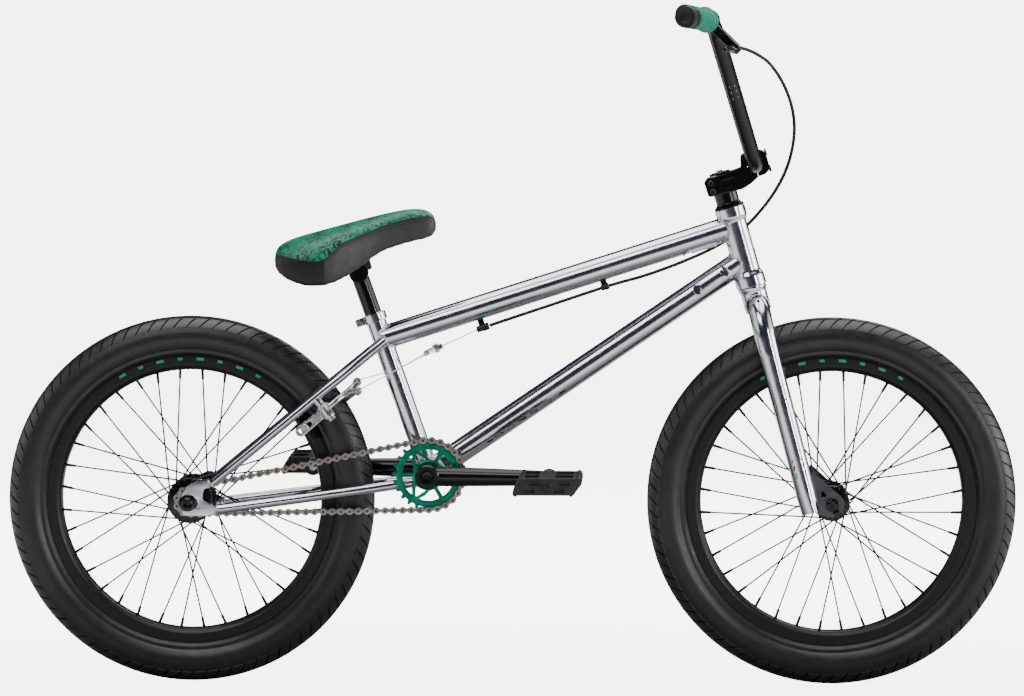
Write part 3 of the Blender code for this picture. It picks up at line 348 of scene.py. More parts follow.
def green_anodised():
    """Dyed aluminium turned on a lathe: fine rings about the crank's axis."""
    made = Shader("green_anodised", Metallic=0.85)
    offset = made.add("ShaderNodeVectorMath", {0: made.place, 1: at(*BB)}, operation="SUBTRACT").outputs[0]
    values = {"Vector": offset, "Scale": 520.0, "Distortion": 0.0}
    rings = made.add("ShaderNodeTexWave", values, wave_type="RINGS", rings_direction="Y").outputs["Fac"]
    made.tones(made.noise(60.0), (0.0, 0.16, 0.09), (0.002, 0.27, 0.16))
    made.roughness(rings, 0.2, 0.3)
    made.bump(rings, 0.05, 0.0002)
    return made.material


def bright_metal(name, dark, light, low, high):
    made = Shader(name, Metallic=1.0)
    made.tones(made.noise(120.0, 4.0), dark, light)
    made.roughness(made.noise(300.0), low, high, 0.3, 0.7)
    made.bump(made.noise(2200.0), 0.12, 0.0002)
    return made.material


def tyre_rubber():
    """Matt black rubber with fine mould texture, dust in the low places and a faint sheen."""
    made = Shader("tyre_rubber", Specular_IOR_Level=0.5)
    dust = made.noise(26.0, 6.0)
    made.tones(dust, (0.005, 0.005, 0.0055), (0.011, 0.011, 0.0115), 0.35, 0.75)
    made.roughness(made.noise(140.0, 4.0), 0.32, 0.46, 0.3, 0.7)
    made.bump(made.noise(1500.0, 3.0), 0.25, 0.0004)
    return made.material


def grip_rubber():
    """Green rubber that breaks up into black flecks towards the outer end."""
    made = Shader("grip_rubber", Specular_IOR_Level=0.4)
    split = made.add("ShaderNodeSeparateXYZ", {"Vector": made.place}).outputs["Y"]
    outward = made.range(made.maths("ABSOLUTE", split), 0.0, 1.0, 0.285, 0.385)
    flecks = made.noise(150.0, 3.0, distortion=1.6)
    edge = made.maths("SUBTRACT", made.maths("MULTIPLY", outward, 1.1), flecks)
    green = made.ramp(made.noise(90.0), ((0.3, (0.004, 0.22, 0.13)), (0.7, (0.012, 0.33, 0.21))))
    made.set("Base Color", made.mix(made.range(edge, 0.0, 1.0, -0.03, 0.03), green, (0.007, 0.007, 0.0075)))
    made.roughness(made.noise(200.0), 0.45, 0.65)
    made.bump(made.noise(2600.0), 0.2, 0.0003)
    return made.material


def moulded(name, dark, light, low, high, grain=2600.0, strength=0.25):
    """Moulded plastic or rubber with a spark-eroded grain."""
    made = Shader(name, Specular_IOR_Level=0.35)
    made.tones(made.noise(35.0, 5.0), dark, light)
    made.roughness(made.noise(160.0), low, high, 0.3, 0.7)
    made.bump(made.noise(grain, 2.0), strength, 0.0003)
    return made.material


def twisted_wire():
    made = Shader("twisted_wire", Metallic=1.0, Roughness=0.32)
    values = {"Vector": made.scaled((1.0, 1.0, 1.0), (0.0, 0.6, 0.0)), "Scale": 900.0}
    strands = made.add("ShaderNodeTexWave", values).outputs["Fac"]
    made.tones(strands, (0.38, 0.38, 0.4), (0.74, 0.74, 0.75), 0.1, 0.8)
    made.bump(strands, 0.4, 0.0003)
    return made.material


def saddle_vinyl():
    """Two-tone cover: dark pebbled sides, and a green top printed with flowing black strokes."""
    made = Shader("saddle_vinyl", Specular_IOR_Level=0.35)
    panel = made.add("ShaderNodeAttribute", attribute_name="panel").outputs["Fac"]
    on_top = made.range(panel, 0.0, 1.0, -0.0002, 0.0002)
    bent = made.noise(16.0, 4.0, (1.0, 2.4, 1.0), distortion=2.2)
    stroke = made.maths(
        "ABSOLUTE", made.maths("SUBTRACT", made.maths("FRACT", made.maths("MULTIPLY", bent, 12.0)), 0.5)
    )
    ink = made.range(stroke, 1.0, 0.0, 0.2, 0.3)
    ink = made.maths("MULTIPLY", ink, made.range(made.noise(30.0, 3.0), 0.0, 1.0, 0.36, 0.5))
    green = made.ramp(made.noise(50.0), ((0.3, (0.0, 0.14, 0.075)), (0.7, (0.006, 0.3, 0.17))))
    top = made.mix(ink, green, (0.004, 0.012, 0.01))
    side = made.ramp(made.noise(70.0), ((0.3, (0.026, 0.026, 0.029)), (0.7, (0.038, 0.038, 0.042))))
    back = made.add("ShaderNodeSeparateXYZ", {"Vector": made.place}).outputs["X"]
    rear = made.range(made.maths("ADD", back, made.maths("MULTIPLY", bent, 0.001)), 1.0, 0.0, -0.264, -0.2625)
    side = made.mix(rear, side, (0.005, 0.005, 0.006))
    made.set("Base Color", made.mix(on_top, side, top))
    made.roughness(made.noise(120.0), 0.34, 0.5, 0.3, 0.7)
    pebble = made.cells(900.0)
    under = made.bump(pebble, 0.35, 0.0006)
    made.bump(made.noise(2500.0), 0.15, 0.0003, under)
    return made.material


def print_ink(name, colour):
    """A printed mark, worn thin in places."""
    made = Shader(name, Roughness=0.45)
    faded = tuple(0.7 * value for value in colour)
    made.tones(made.noise(180.0, 4.0), faded, colour, 0.32, 0.5)
    made.bump(made.noise(1500.0), 0.1, 0.0002)
    return made.material


# Floor base colour with painted shade: dark under the bicycle, pale round it and dark again far out. The
# metal's reflections see this shade, and the camera sees a faint painted shadow under the bicycle.
FLOOR_SHADE_TONES = (
    (0.08, (0.16, 0.16, 0.16)), (0.24, (0.86, 0.855, 0.845)), (0.46, (0.86, 0.855, 0.845)),
    (0.8, (0.04, 0.04, 0.044)),
)


def pale_floor():
    made = Shader("pale_floor", Roughness=0.85, Specular_IOR_Level=0.2, Emission_Color=PALE)
    seen = made.add("ShaderNodeLightPath").outputs["Is Camera Ray"]
    made.set("Emission Strength", made.maths("MULTIPLY", seen, FLOOR_LIFT))
    spread = made.add(
        "ShaderNodeVectorMath", {0: made.scaled((0.55, 1.0, 0.0))}, operation="LENGTH"
    ).outputs["Value"]
    # Painted shade on the floor: the tone runs from dark under the bicycle to pale, then dark far out, with a
    # faint random wobble.
    shade_reach = made.maths("ADD", made.maths("MULTIPLY", spread, 0.25), made.range(made.noise(1.5), -0.01, 0.01))
    made.set("Base Color", made.ramp(shade_reach, FLOOR_SHADE_TONES))
    made.bump(made.noise(60.0), 0.02, 0.001)
    return made.material


PAINT = {
    "steel": polished_steel(),
    "weld": weld_metal(),
    "dark_steel": dark_steel(),
    "black": black_paint("gloss_black", (0.004, 0.004, 0.0045), 0.1, 0.2),
    "rim_black": black_paint("rim_black", (0.004, 0.004, 0.004), 0.3, 0.42, 1200.0),
    "spoke_black": black_paint("spoke_black", (0.006, 0.006, 0.006), 0.25, 0.35),
    "green": green_anodised(),
    "silver": bright_metal("silver_alloy", (0.45, 0.45, 0.45), (0.66, 0.66, 0.65), 0.2, 0.34),
    "chain": bright_metal("chain_steel", (0.25, 0.205, 0.185), (0.42, 0.37, 0.335), 0.24, 0.38),
    "bearing": bright_metal("bearing_steel", (0.45, 0.45, 0.47), (0.7, 0.7, 0.72), 0.2, 0.34),
    "cog": bright_metal("cog_steel", (0.2, 0.2, 0.21), (0.38, 0.38, 0.4), 0.3, 0.45),
    "tyre": tyre_rubber(),
    "grip": grip_rubber(),
    "plastic": moulded("dark_plastic", (0.012, 0.012, 0.013), (0.021, 0.021, 0.023), 0.36, 0.52),
    "rubber": moulded("black_rubber", (0.005, 0.005, 0.0055), (0.01, 0.01, 0.0105), 0.4, 0.55, 3000.0, 0.15),
    "wire": twisted_wire(),
    "vinyl": saddle_vinyl(),
    "thread": moulded("seam_thread", (0.01, 0.012, 0.012), (0.025, 0.03, 0.028), 0.6, 0.8, 4000.0, 0.4),
    "green_print": print_ink("green_print", (0.004, 0.26, 0.16)),
    "pale_print": print_ink("pale_print", (0.62, 0.6, 0.55)),
    "black_print": print_ink("black_print", (0.008, 0.008, 0.009)),
}


# ---- mesh helpers --------------------------------------------------------------------------------
def placed(name, data):
    """A new object in the scene."""
    item = bpy.data.objects.new(name, data)
    bpy.context.scene.collection.objects.link(item)
    return item


def baked(item, *extras):
    """The item's mesh with its modifiers applied; the item and the extras are removed."""
    mesh = bpy.data.meshes.new_from_object(item.evaluated_get(bpy.context.evaluated_depsgraph_get()))
    for done in (item, *extras):
        bpy.data.objects.remove(done, do_unlink=True)
    return mesh


def piece(name, mesh, paint, body, replaces=(), matrix=None, smooth=38.0, bevel=0.0):
    """A shown object that rides on a CAD body and may stand for CAD nodes."""
    item = placed(name, mesh)
    if matrix is not None:
        mesh.transform(matrix)
    mesh.materials.clear()
    mesh.materials.append(PAINT[paint])
    mesh.shade_smooth()
    mesh.set_sharp_from_angle(angle=math.radians(smooth))
    if smooth < 60.0:
        even = item.modifiers.new("even", "WEIGHTED_NORMAL")
        even.keep_sharp = True
    if bevel:
        round_off = item.modifiers.new("edges", "BEVEL")
        round_off.width = bevel * MM
        round_off.segments = 2
        round_off.limit_method = "ANGLE"
        round_off.angle_limit = math.radians(40.0)
    if body is not None:
        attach(item, body)
    if replaces:
        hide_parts(*replaces)
    return item


def look(node, mesh, paint, body, matrix=None, smooth=38.0, bevel=0.0):
    """A shown object that stands for one CAD node."""
    return piece(node + "_look", mesh, paint, body, (node,), matrix, smooth, bevel)


def tidy_mesh(name, vertices, faces):
    mesh = bpy.data.meshes.new(name)
    mesh.from_pydata([tuple(point) for point in vertices], [], faces)
    build = bmesh.new()
    build.from_mesh(mesh)
    bmesh.ops.recalc_face_normals(build, faces=build.faces)
    build.to_mesh(mesh)
    build.free()
    return mesh


def grid_mesh(name, rows, wrap_rows=False):
    """Quads over rows of points; each row is a closed ring."""
    rows = np.asarray(rows, float)
    count, columns = rows.shape[0], rows.shape[1]
    faces = []
    for row in range(count if wrap_rows else count - 1):
        low, high = row * columns, (row + 1) % count * columns
        for column in range(columns):
            after = (column + 1) % columns
            faces.append((low + column, low + after, high + after, high + column))
    if not wrap_rows:
        faces.append(tuple(range(columns)))
        faces.append(tuple(range((count - 1) * columns, count * columns)))
    return tidy_mesh(name, rows.reshape(-1, 3), faces)


def lathe(name, profile, steps=48, closed=True):
    """A turned mesh about local Z; a profile point is (radius, height) or (radius, height, 'hex')."""
    angles = np.arange(steps) * math.tau / steps
    hexagon = math.cos(math.pi / 6.0) / np.cos((angles + math.pi / 6.0) % (math.pi / 3.0) - math.pi / 6.0)
    rows = []
    for radius, height, *flag in profile:
        spread = radius * (hexagon / math.cos(math.pi / 6.0) if flag else np.ones(steps)) * MM
        rows.append(
            np.stack([spread * np.cos(angles), spread * np.sin(angles), np.full(steps, height * MM)], 1)
        )
    return grid_mesh(name, rows, wrap_rows=closed)


def sweep_rows(path, radii, sides, flat, up):
    """Rings of points along a path; flat scales the ring's second axis."""
    points = np.array([tuple(point) for point in path])
    tangents = np.gradient(points, axis=0)
    tangents /= np.linalg.norm(tangents, axis=1)[:, None]
    normal = np.array(up if up is not None else (0.13, 0.21, 0.97))
    angles = np.arange(sides) * math.tau / sides
    rows = []
    for point, tangent, radius in zip(points, tangents, np.broadcast_to(radii, len(points))):
        normal = normal - tangent * (normal @ tangent)
        normal /= np.linalg.norm(normal)
        side = np.cross(tangent, normal)
        ring = np.cos(angles)[:, None] * normal + np.sin(angles)[:, None] * side * flat
        rows.append(point + ring * radius * MM)
    return rows


def sweep(name, path, radii, sides=24, flat=1.0, up=None):
    return grid_mesh(name, sweep_rows(path, radii, sides, flat, up))


def flat_mesh(name, outline, thickness, holes=(), bevel=0.0):
    """A flat plate in local XY, centred on local Z, with rounded rims if bevel is set."""
    curve = bpy.data.curves.new(name, "CURVE")
    curve.dimensions = "2D"
    curve.fill_mode = "BOTH"
    curve.extrude = (thickness / 2.0 - bevel) * MM
    curve.bevel_depth = bevel * MM
    curve.bevel_resolution = 1
    curve.offset = -bevel * MM
    for loop in (outline, *holes):
        spline = curve.splines.new("POLY")
        spline.points.add(len(loop) - 1)
        for index, (x, y) in enumerate(loop):
            spline.points[index].co = (x * MM, y * MM, 0.0, 1.0)
        spline.use_cyclic_u = True
    holder = placed(name, curve)
    mesh = baked(holder)
    build = bmesh.new()
    build.from_mesh(mesh)
    bmesh.ops.remove_doubles(build, verts=build.verts, dist=0.00002)
    bmesh.ops.recalc_face_normals(build, faces=build.faces)
    build.to_mesh(mesh)
    build.free()
    return mesh


def block_mesh(name, size, bevel=0.0):
    mesh = bpy.data.meshes.new(name)
    build = bmesh.new()
    bmesh.ops.create_cube(build, size=1.0, matrix=Matrix.Diagonal((*[side * MM for side in size], 1.0)))
    if bevel:
        bmesh.ops.bevel(build, geom=build.edges, offset=bevel * MM, segments=2, affect="EDGES", profile=0.6)
    build.to_mesh(mesh)
    build.free()
    return mesh


def joined(name, *parts):
    """One mesh from several (mesh, matrix) pairs or meshes."""
    build = bmesh.new()
    for part in parts:
        mesh, matrix = part if isinstance(part, tuple) else (part, None)
        if matrix is not None:
            mesh.transform(matrix)
        build.from_mesh(mesh)
        bpy.data.meshes.remove(mesh)
    mesh = bpy.data.meshes.new(name)
    build.to_mesh(mesh)
    build.free()
    return mesh


def carved(mesh, *cutters, operation="DIFFERENCE"):
    """The mesh after an exact Boolean with each cutter mesh."""
    item = placed("carving", mesh)
    tools = []
    for cutter in cutters:
        tool = placed("cutter", cutter)
        step = item.modifiers.new("carve", "BOOLEAN")
        step.operation = operation
        step.object = tool
        step.solver = "EXACT"
        tools.append(tool)
    return baked(item, *tools)


def bar_mesh(name, start, end, radius, end_radius=None, sides=32):
    """A solid round bar between two world points."""
    end_radius = radius if end_radius is None else end_radius
    mesh = lathe(name, [(radius, 0.0), (end_radius, (end - start).length / MM)], sides, closed=False)
    mesh.transform(along(start, end))
    return mesh


def socket_screw(radius, height, socket=0.5):
    """A cap screw's head standing on local Z=0, with a hexagon socket."""
    deep, hexa = height * 0.45, radius * socket
    return lathe("screw", [
        (hexa * 0.2, deep, "hex"), (hexa, deep, "hex"), (hexa, height, "hex"), (radius - 0.5, height),
        (radius, height - 0.6), (radius, 0.0),
    ], 24, closed=False)


def hex_nut(radius, height, bore):
    """A nut standing on local Z=0, its top corners turned off."""
    return lathe(
        "nut",
        [
            (bore, height), (radius * 0.86, height), (radius, height - 0.9, "hex"), (radius, 0.0, "hex"),
            (bore, 0.0),
        ],
        36,
    )


# ---- tubes that meet at welds --------------------------------------------------------------------
def along_to_cylinder(origins, direction, centre, axis, radius):
    """Distance along direction from each origin to a cylinder's near side."""
    offset = origins - centre
    d_flat = direction - axis * (direction @ axis)
    o_flat = offset - np.outer(offset @ axis, axis)
    a = d_flat @ d_flat
    b = 2.0 * (o_flat @ d_flat)
    c = (o_flat * o_flat).sum(1) - radius**2
    return (-b - np.sqrt(np.maximum(b * b - 4.0 * a * c, 0.0))) / (2.0 * a)


def tube_rings(start, end, radius, cut_start=None, cut_end=None, sides=72):
    """Two end rings of a tube, each laid on the cylinder (point, point, radius) that it meets."""
    start, end = np.array(start), np.array(end)
    direction = (end - start) / np.linalg.norm(end - start)
    normal = np.cross(direction, (0.0, 1.0, 0.0) if abs(direction[1]) < 0.9 else (1.0, 0.0, 0.0))
    normal /= np.linalg.norm(normal)
    side = np.cross(direction, normal)
    angles = np.arange(sides) * math.tau / sides
    ring = (np.cos(angles)[:, None] * normal + np.sin(angles)[:, None] * side) * radius * MM
    middle = (start + end) / 2.0
    rings = []
    for target, cut, heading in ((start, cut_start, -direction), (end, cut_end, direction)):
        if cut is None:
            rings.append(target + ring)
            continue
        low, high = np.array(cut[0]), np.array(cut[1])
        axis = (high - low) / np.linalg.norm(high - low)
        reach = along_to_cylinder(middle + ring, heading, low, axis, cut[2] * MM)
        rings.append(middle + ring + np.outer(reach, heading))
    return rings


def frame_tube(name, start, end, radius, cut_start, cut_end):
    """A tube sunk slightly into what it meets, with a ripple weld round each mitred end."""
    sink = [None if cut is None else (cut[0], cut[1], cut[2] - 0.8) for cut in (cut_start, cut_end)]
    first, last = tube_rings(start, end, radius, *sink)
    grid = [first + (last - first) * share for share in np.linspace(0.0, 1.0, 24)]
    look(name, grid_mesh(name, grid), "steel", "frame")
    rings = tube_rings(start, end, radius + 0.3, cut_start, cut_end)
    for label, cut, ring in zip(("rear", "front"), (cut_start, cut_end), rings):
        if cut is not None:
            weld(name + "_weld_" + label, ring, "frame")


def weld(name, loop, body, size=1.7):
    """A row of overlapping puddles round a closed loop of points."""
    loop = np.asarray(loop)
    closed = np.vstack([loop, loop[:1]])
    steps = np.linalg.norm(np.diff(closed, axis=0), axis=1)
    length = np.concatenate([[0.0], np.cumsum(steps)])
    puddles = max(12, round(length[-1] / (2.3 * MM)))
    places = np.linspace(0.0, length[-1], puddles * 4 + 1)[:-1]
    points = np.stack([np.interp(places, length, closed[:, axis]) for axis in range(3)], 1)
    phase = np.arange(len(points)) % 4 / 4.0
    radii = size * (1.0 + 0.24 * np.sin(phase * math.pi))
    tangents = np.roll(points, -1, 0) - np.roll(points, 1, 0)
    tangents /= np.linalg.norm(tangents, axis=1)[:, None]
    centre = points.mean(0)
    angles = np.arange(8) * math.tau / 8
    rows = []
    for point, tangent, radius in zip(points, tangents, radii):
        outward = point - centre
        outward -= tangent * (outward @ tangent)
        outward /= np.linalg.norm(outward)
        side = np.cross(tangent, outward)
        rows.append(
            point + (np.cos(angles)[:, None] * outward * 0.8 + np.sin(angles)[:, None] * side) * radius * MM
        )
    return piece(name, grid_mesh(name, rows, wrap_rows=True), "weld", body, smooth=70.0)


HEAD_AXIS = (head_point(0, 0, 0), head_point(0, 0, HEAD_TUBE_LENGTH))
SEAT_AXIS = (seat_point(0, 0, 0), seat_point(0, 0, SEAT_TUBE_LENGTH))
SHELL_AXIS = (at(BB_X, -40, BB[2]), at(BB_X, 40, BB[2]))


def build_main_frame():
    on_head = (*HEAD_AXIS, HEAD_TUBE_RADIUS)
    on_head_flare = (*HEAD_AXIS, HEAD_TUBE_RADIUS + 1.6)
    on_seat = (*SEAT_AXIS, SEAT_TUBE_RADIUS)
    on_shell = (*SHELL_AXIS, BB_SHELL_RADIUS)
    top = seat_point(0, 0, TOP_TUBE_AT_SEAT), head_point(0, 0, TOP_TUBE_AT_HEAD)
    frame_tube("top_tube", *top, MAIN_TUBE_RADIUS, on_seat, on_head_flare)
    down = at(*BB), head_point(0, 0, DOWN_TUBE_AT_HEAD)
    frame_tube("down_tube", *down, MAIN_TUBE_RADIUS, on_shell, on_head)
    frame_tube(
        "seat_tube", seat_point(0, 0, 0), seat_point(0, 0, SEAT_TUBE_LENGTH), SEAT_TUBE_RADIUS, on_shell,
        None,
    )
    build_head_tube()
    shell = [
        (BB_SHELL_RADIUS - 0.8, BB_SHELL_HALF), (BB_SHELL_RADIUS, BB_SHELL_HALF - 0.8),
        (BB_SHELL_RADIUS, 0.8 - BB_SHELL_HALF), (BB_SHELL_RADIUS - 0.8, -BB_SHELL_HALF),
        (20.6, -BB_SHELL_HALF), (20.6, BB_SHELL_HALF),
    ]
    look("bottom_bracket_shell", lathe("shell", shell, 64), "steel", "frame", side_matrix(*BB))


def build_head_tube():
    length, flare, radius = HEAD_TUBE_LENGTH, HEAD_TUBE_FLARE, HEAD_TUBE_RADIUS
    blend = [
        (radius + (flare - radius) * (0.5 - 0.5 * math.cos(math.pi * t)), t)
        for t in np.linspace(0.0, 1.0, 7)
    ]
    top = [(r, length - 22.0 + 9.0 * t) for r, t in blend]
    bottom = [(r, 24.0 - 10.0 * t) for r, t in blend]
    profile = [
        (20.9, length), (flare - 0.7, length), (flare, length - 0.7), *top[::-1], *bottom, (flare, 0.7),
        (flare - 0.7, 0.0), (20.9, 0.0), (20.9, 8.0), (17.0, 8.0), (17.0, length - 8.0),
        (20.9, length - 8.0),
    ]
    look("head_tube", lathe("head_tube", profile, 72), "steel", "frame", HEAD)
    badge = [(x * 9.0, y * 17.0) for x, y in arc((0, 0), 1.0, 0.0, 350.0, 35)]
    mesh = flat_mesh("badge", badge, 1.4, bevel=0.5)
    mesh.transform(shift(0, 0, 0.3))
    bend_round(mesh, HEAD_TUBE_RADIUS)
    turn = Matrix(((0.0, 0.0, 1.0), (1.0, 0.0, 0.0), (0.0, 1.0, 0.0))).to_4x4()
    place = HEAD @ shift(0, 0, 66.0) @ turn
    piece("head_badge", mesh, "pale_print", "frame", matrix=place)


def bend_round(mesh, radius):
    """Wraps a flat mesh in local XY round a cylinder along local Y, its surface at local Z=0."""
    for vertex in mesh.vertices:
        angle = vertex.co.x / (radius * MM)
        reach = radius * MM + vertex.co.z
        vertex.co.x = math.sin(angle) * reach
        vertex.co.z = math.cos(angle) * reach


CHAINSTAY_PATH = ((42.4, 55.6, 256.4), (90, 54.5, 262.6), (160, 49.5, 271.7), (215, 43.5, 278.9),
                  (240, 40.6, 282.1), (265, 35.5, 285.4), (290, 29.6, 288.7), (345, 25.5, 295.9))
SEATSTAY_PATH = ((43.2, 56.6), (90, 54.5), (160, 49.5), (220, 44.5), (266, 41.0), (305, 33.0),
                 (340, 20.5), (366, 13.5))


def stay_mesh(name, route):
    """A round stay with a domed rear cap."""
    path = smooth_path(route, 5)
    start = path[0]
    back = (path[0] - path[1]).normalized()
    dome = [start + back * STAY_RADIUS * MM * 0.3 * depth for depth in (1.0, 0.86, 0.5)]
    shares = [0.35, 0.7, 0.93]
    radii = [STAY_RADIUS * share for share in shares] + [STAY_RADIUS] * len(path)
    return sweep(name, dome + path, radii, 32, up=(0.0, 0.3, 1.0))


def wrapped(name, outline, thickness, paint, start, end, distance, turn, radius, body, holes=(), bevel=0.0):
    """A flat shape wrapped round a tube: distance along it in millimetres, turn in degrees from its top."""
    mesh = flat_mesh(name, outline, thickness, holes, bevel)
    bend_round(mesh, radius)
    ahead = (end - start).normalized()
    side = ahead.cross(Vector((0.0, 1.0, 0.0))).normalized() * -1.0
    up = Matrix.Rotation(math.radians(turn), 3, ahead) @ side
    across = ahead.cross(up)
    place = Matrix((across, ahead, up)).transposed().to_4x4()
    place.translation = start + ahead * distance * MM
    return piece(name, mesh, paint, body, matrix=place, smooth=30.0)


def pill(half_width, half_length):
    straight = half_length - half_width
    front = arc((0.0, straight), half_width, 0.0, 180.0, 12)
    return front + arc((0.0, -straight), half_width, 180.0, 360.0, 12)


def build_tube_details():
    """Gussets behind the head tube, and plain printed marks on the tubes and one fork leg."""
    head = head_point(0, 0, TOP_TUBE_AT_HEAD), head_point(0, 0, DOWN_TUBE_AT_HEAD)
    top = seat_point(0, 0, TOP_TUBE_AT_SEAT), head[0]
    down = at(*BB), head[1]
    top_length = (top[1] - top[0]).length / MM
    down_length = (down[1] - down[0]).length / MM
    wrapped(
        "top_gusset", pill(13.0, 32.0), 2.4, "steel", *top, top_length - 52.0, 0.0, MAIN_TUBE_RADIUS + 1.0,
        "frame", (pill(4.5, 18.0)[::-1],), 0.8,
    )
    for side, sign in SIDES:
        wrapped("down_gusset_" + side, pill(8.0, 30.0), 2.2, "steel", *down, down_length - 56.0, sign * -98.0,
                MAIN_TUBE_RADIUS + 0.9, "frame", (pill(3.0, 17.0)[::-1],), 0.6)
    wrapped("top_mark", pill(2.0, 5.0), 0.3, "green_print", *top, 150.0, -40.0, MAIN_TUBE_RADIUS, "frame")
    stroke = [(-3.0, -8.0), (1.0, -10.0), (3.0, 6.0), (-1.0, 9.0)]
    for index, distance in enumerate((100, 116, 136, 156, 176, 200, 226)):
        shape = [(x * (0.7 + 0.3 * (index % 3)), y * (0.6 + 0.2 * (index % 2))) for x, y in stroke]
        wrapped(
            "down_mark_%d" % index, shape, 0.3, "black_print", *down, distance, -52.0, MAIN_TUBE_RADIUS,
            "frame",
        )
    low, high = at(895.5, -53.0, 254.0), at(845.0, -49.2, 445.0)
    for index, (distance, height) in enumerate(((58.0, 5.0), (70.0, 4.0), (80.0, 3.0))):
        patch = [(-9.0, -height), (8.0, -height + 1.0), (9.5, height), (-7.5, height - 1.0)]
        paint = "black_print" if index == 1 else "green_print"
        wrapped("fork_mark_%d" % index, patch, 0.3, paint, low, high, distance, -90.0, 15.35, "steering")


def build_stays():
    for side, sign in SIDES:
        chain_route = [at(x, sign * y, z) for x, y, z in CHAINSTAY_PATH]
        mesh = carved(
            stay_mesh("chainstay", chain_route),
            bar_mesh("cut", at(BB_X, -60, BB[2]), at(BB_X, 60, BB[2]), BB_SHELL_RADIUS - 0.5, sides=64),
        )
        look("chainstay_" + side, mesh, "steel", "frame")
        seat_route = [stay_point(up, sign * y, 0) for up, y in SEATSTAY_PATH]
        mesh = carved(
            stay_mesh("seatstay", seat_route),
            bar_mesh("cut", seat_point(0, 0, 100), seat_point(0, 0, 240), SEAT_TUBE_RADIUS - 0.5, sides=64),
        )
        boss = bar_mesh(
            "boss", stay_point(BRAKE_UP, sign * BRAKE_SIDE, 0),
            stay_point(BRAKE_UP, sign * BRAKE_SIDE, 13.5), 7.6, 6.8,
        )
        look("seatstay_" + side, joined("seatstay", mesh, boss), "steel", "frame")
        weld_ring("chainstay_%s_weld" % side, chain_route[-1], chain_route[-2], SHELL_AXIS, BB_SHELL_RADIUS)
        weld_ring("seatstay_%s_weld" % side, seat_route[-1], seat_route[-2], SEAT_AXIS, SEAT_TUBE_RADIUS)
        build_rear_dropout(side, sign)


def weld_ring(name, inner, outer, axis, cylinder):
    """A weld where a stay coming from outer runs into a cylinder near inner."""
    far = outer + (outer - inner) * 1.5
    ring = tube_rings(inner, far, STAY_RADIUS, (*axis, cylinder), None, 48)[0]
    weld(name, ring, "frame", 1.5)


def build_rear_dropout(side, sign):
    slot = [(-9.0, 7.3), *arc((7.0, 0.0), 7.3, 90.0, -90.0, 16), (-9.0, -7.3)]
    edge = [
        Vector((x, y, 0))
        for x, y in (
            (-8.6, -14.0), (-4.0, -18.6), (12.0, -18.9), (27.0, -18.8), (38.0, -15.6), (41.4, -8.0),
            (36.0, -2.5), (27.0, 1.0), (22.8, 5.5), (21.8, 12.0), (24.0, 19.5), (31.0, 23.6), (30.4, 29.0),
            (24.0, 33.6), (16.0, 33.6), (0.0, 25.2), (-8.4, 13.0),
        )
    ]
    outline = slot + [(point.x, point.y) for point in smooth_path(edge, 3)]
    mesh = flat_mesh("dropout", outline, 6.0, bevel=0.7)
    look("dropout_" + side, mesh, "steel", "frame", side_matrix(0, sign * 58.0, TYRE_RADIUS))
    for label, start, ahead in (("low", at(42.0, sign * 55.6, 256.4), at(60, sign * 55.2, 258.7)),
                                ("high", stay_point(42.8, sign * 56.6, 0), stay_point(60, sign * 56.0, 0))):
        ring = tube_rings(start, ahead, STAY_RADIUS + 0.2, None, None, 40)[0]
        weld("dropout_%s_weld_%s" % (side, label), ring, "frame", 1.2)


def build_seat_clamp():
    top = SEAT_TUBE_LENGTH - 0.5
    ring = [
        (17.0, top), (17.6, top - 0.7), (17.6, top - 11.3), (17.0, top - 12.0), (14.5, top - 12.0),
        (14.5, top),
    ]
    ears = block_mesh("ears", (13.0, 8.6, 11.0), 1.5)
    other = ears.copy()
    mid = shift(-21.5, 0, top - 6.0)
    mesh = joined("clamp", lathe("ring", ring, 64), (ears, mid @ shift(0, 5.2, 0)),
                  (other, mid @ shift(0, -5.2, 0)))
    look("seat_clamp", mesh, "steel", "frame", SEAT)
    screw = joined(
        "screw",
        (socket_screw(4.4, 4.5), along(seat_point(-22.5, -9.5, top - 6), seat_point(-22.5, -20, top - 6))),
        bar_mesh("shank", seat_point(-22.5, -10, top - 6), seat_point(-22.5, 11.5, top - 6), 2.4, sides=16),
    )
    piece("seat_clamp_screw", screw, "bearing", "frame")


# ---- fork and headset ----------------------------------------------------------------------------
FORK_PATH = ((817.4, 8, 551.8), (820.5, 30, 543.5), (826.0, 44.0, 520.0), (833.0, 48.2, 490.0),
             (845.0, 49.2, 445.0), (895.5, 53.0, 254.0))


def build_fork():
    crown = [
        (14.3, 168.0), (14.3, -0.35), (19.4, -0.35), (20.6, -1.2), (20.6, -4.4), (19.2, -6.6), (18.8, -10.0),
        (19.0, -34.0), (17.6, -37.2), (14.0, -38.0), (11.0, -38.0), (11.0, 168.0),
    ]
    piece("fork_crown_look", lathe("crown", crown, 72), "steel", "steering", ("fork_steerer",), HEAD)
    for side, sign in SIDES:
        route = smooth_path([at(x, sign * y, z) for x, y, z in FORK_PATH], 8)
        count = len(route)
        radii = [16.4 * (1.0 - 0.12 * index / (count - 1)) for index in range(count)]
        radii[-1] *= 0.93
        mesh = carved(sweep("leg", route, radii, 48, up=(1.0, 0.0, 0.0)),
                      bar_mesh("cut", head_point(0, 0, -90), head_point(0, 0, 20), 18.0, sides=64))
        look("fork_leg_" + side, mesh, "steel", "steering")
        ring = tube_rings(at(817.4, sign * 4, 551.8), at(823.0, sign * 50, 541.0), 15.9,
                          (head_point(0, 0, -60), head_point(0, 0, 0), 19.0), None, 64)[0]
        weld("fork_leg_%s_weld" % side, ring, "steering", 1.8)
        build_fork_dropout(side, sign)


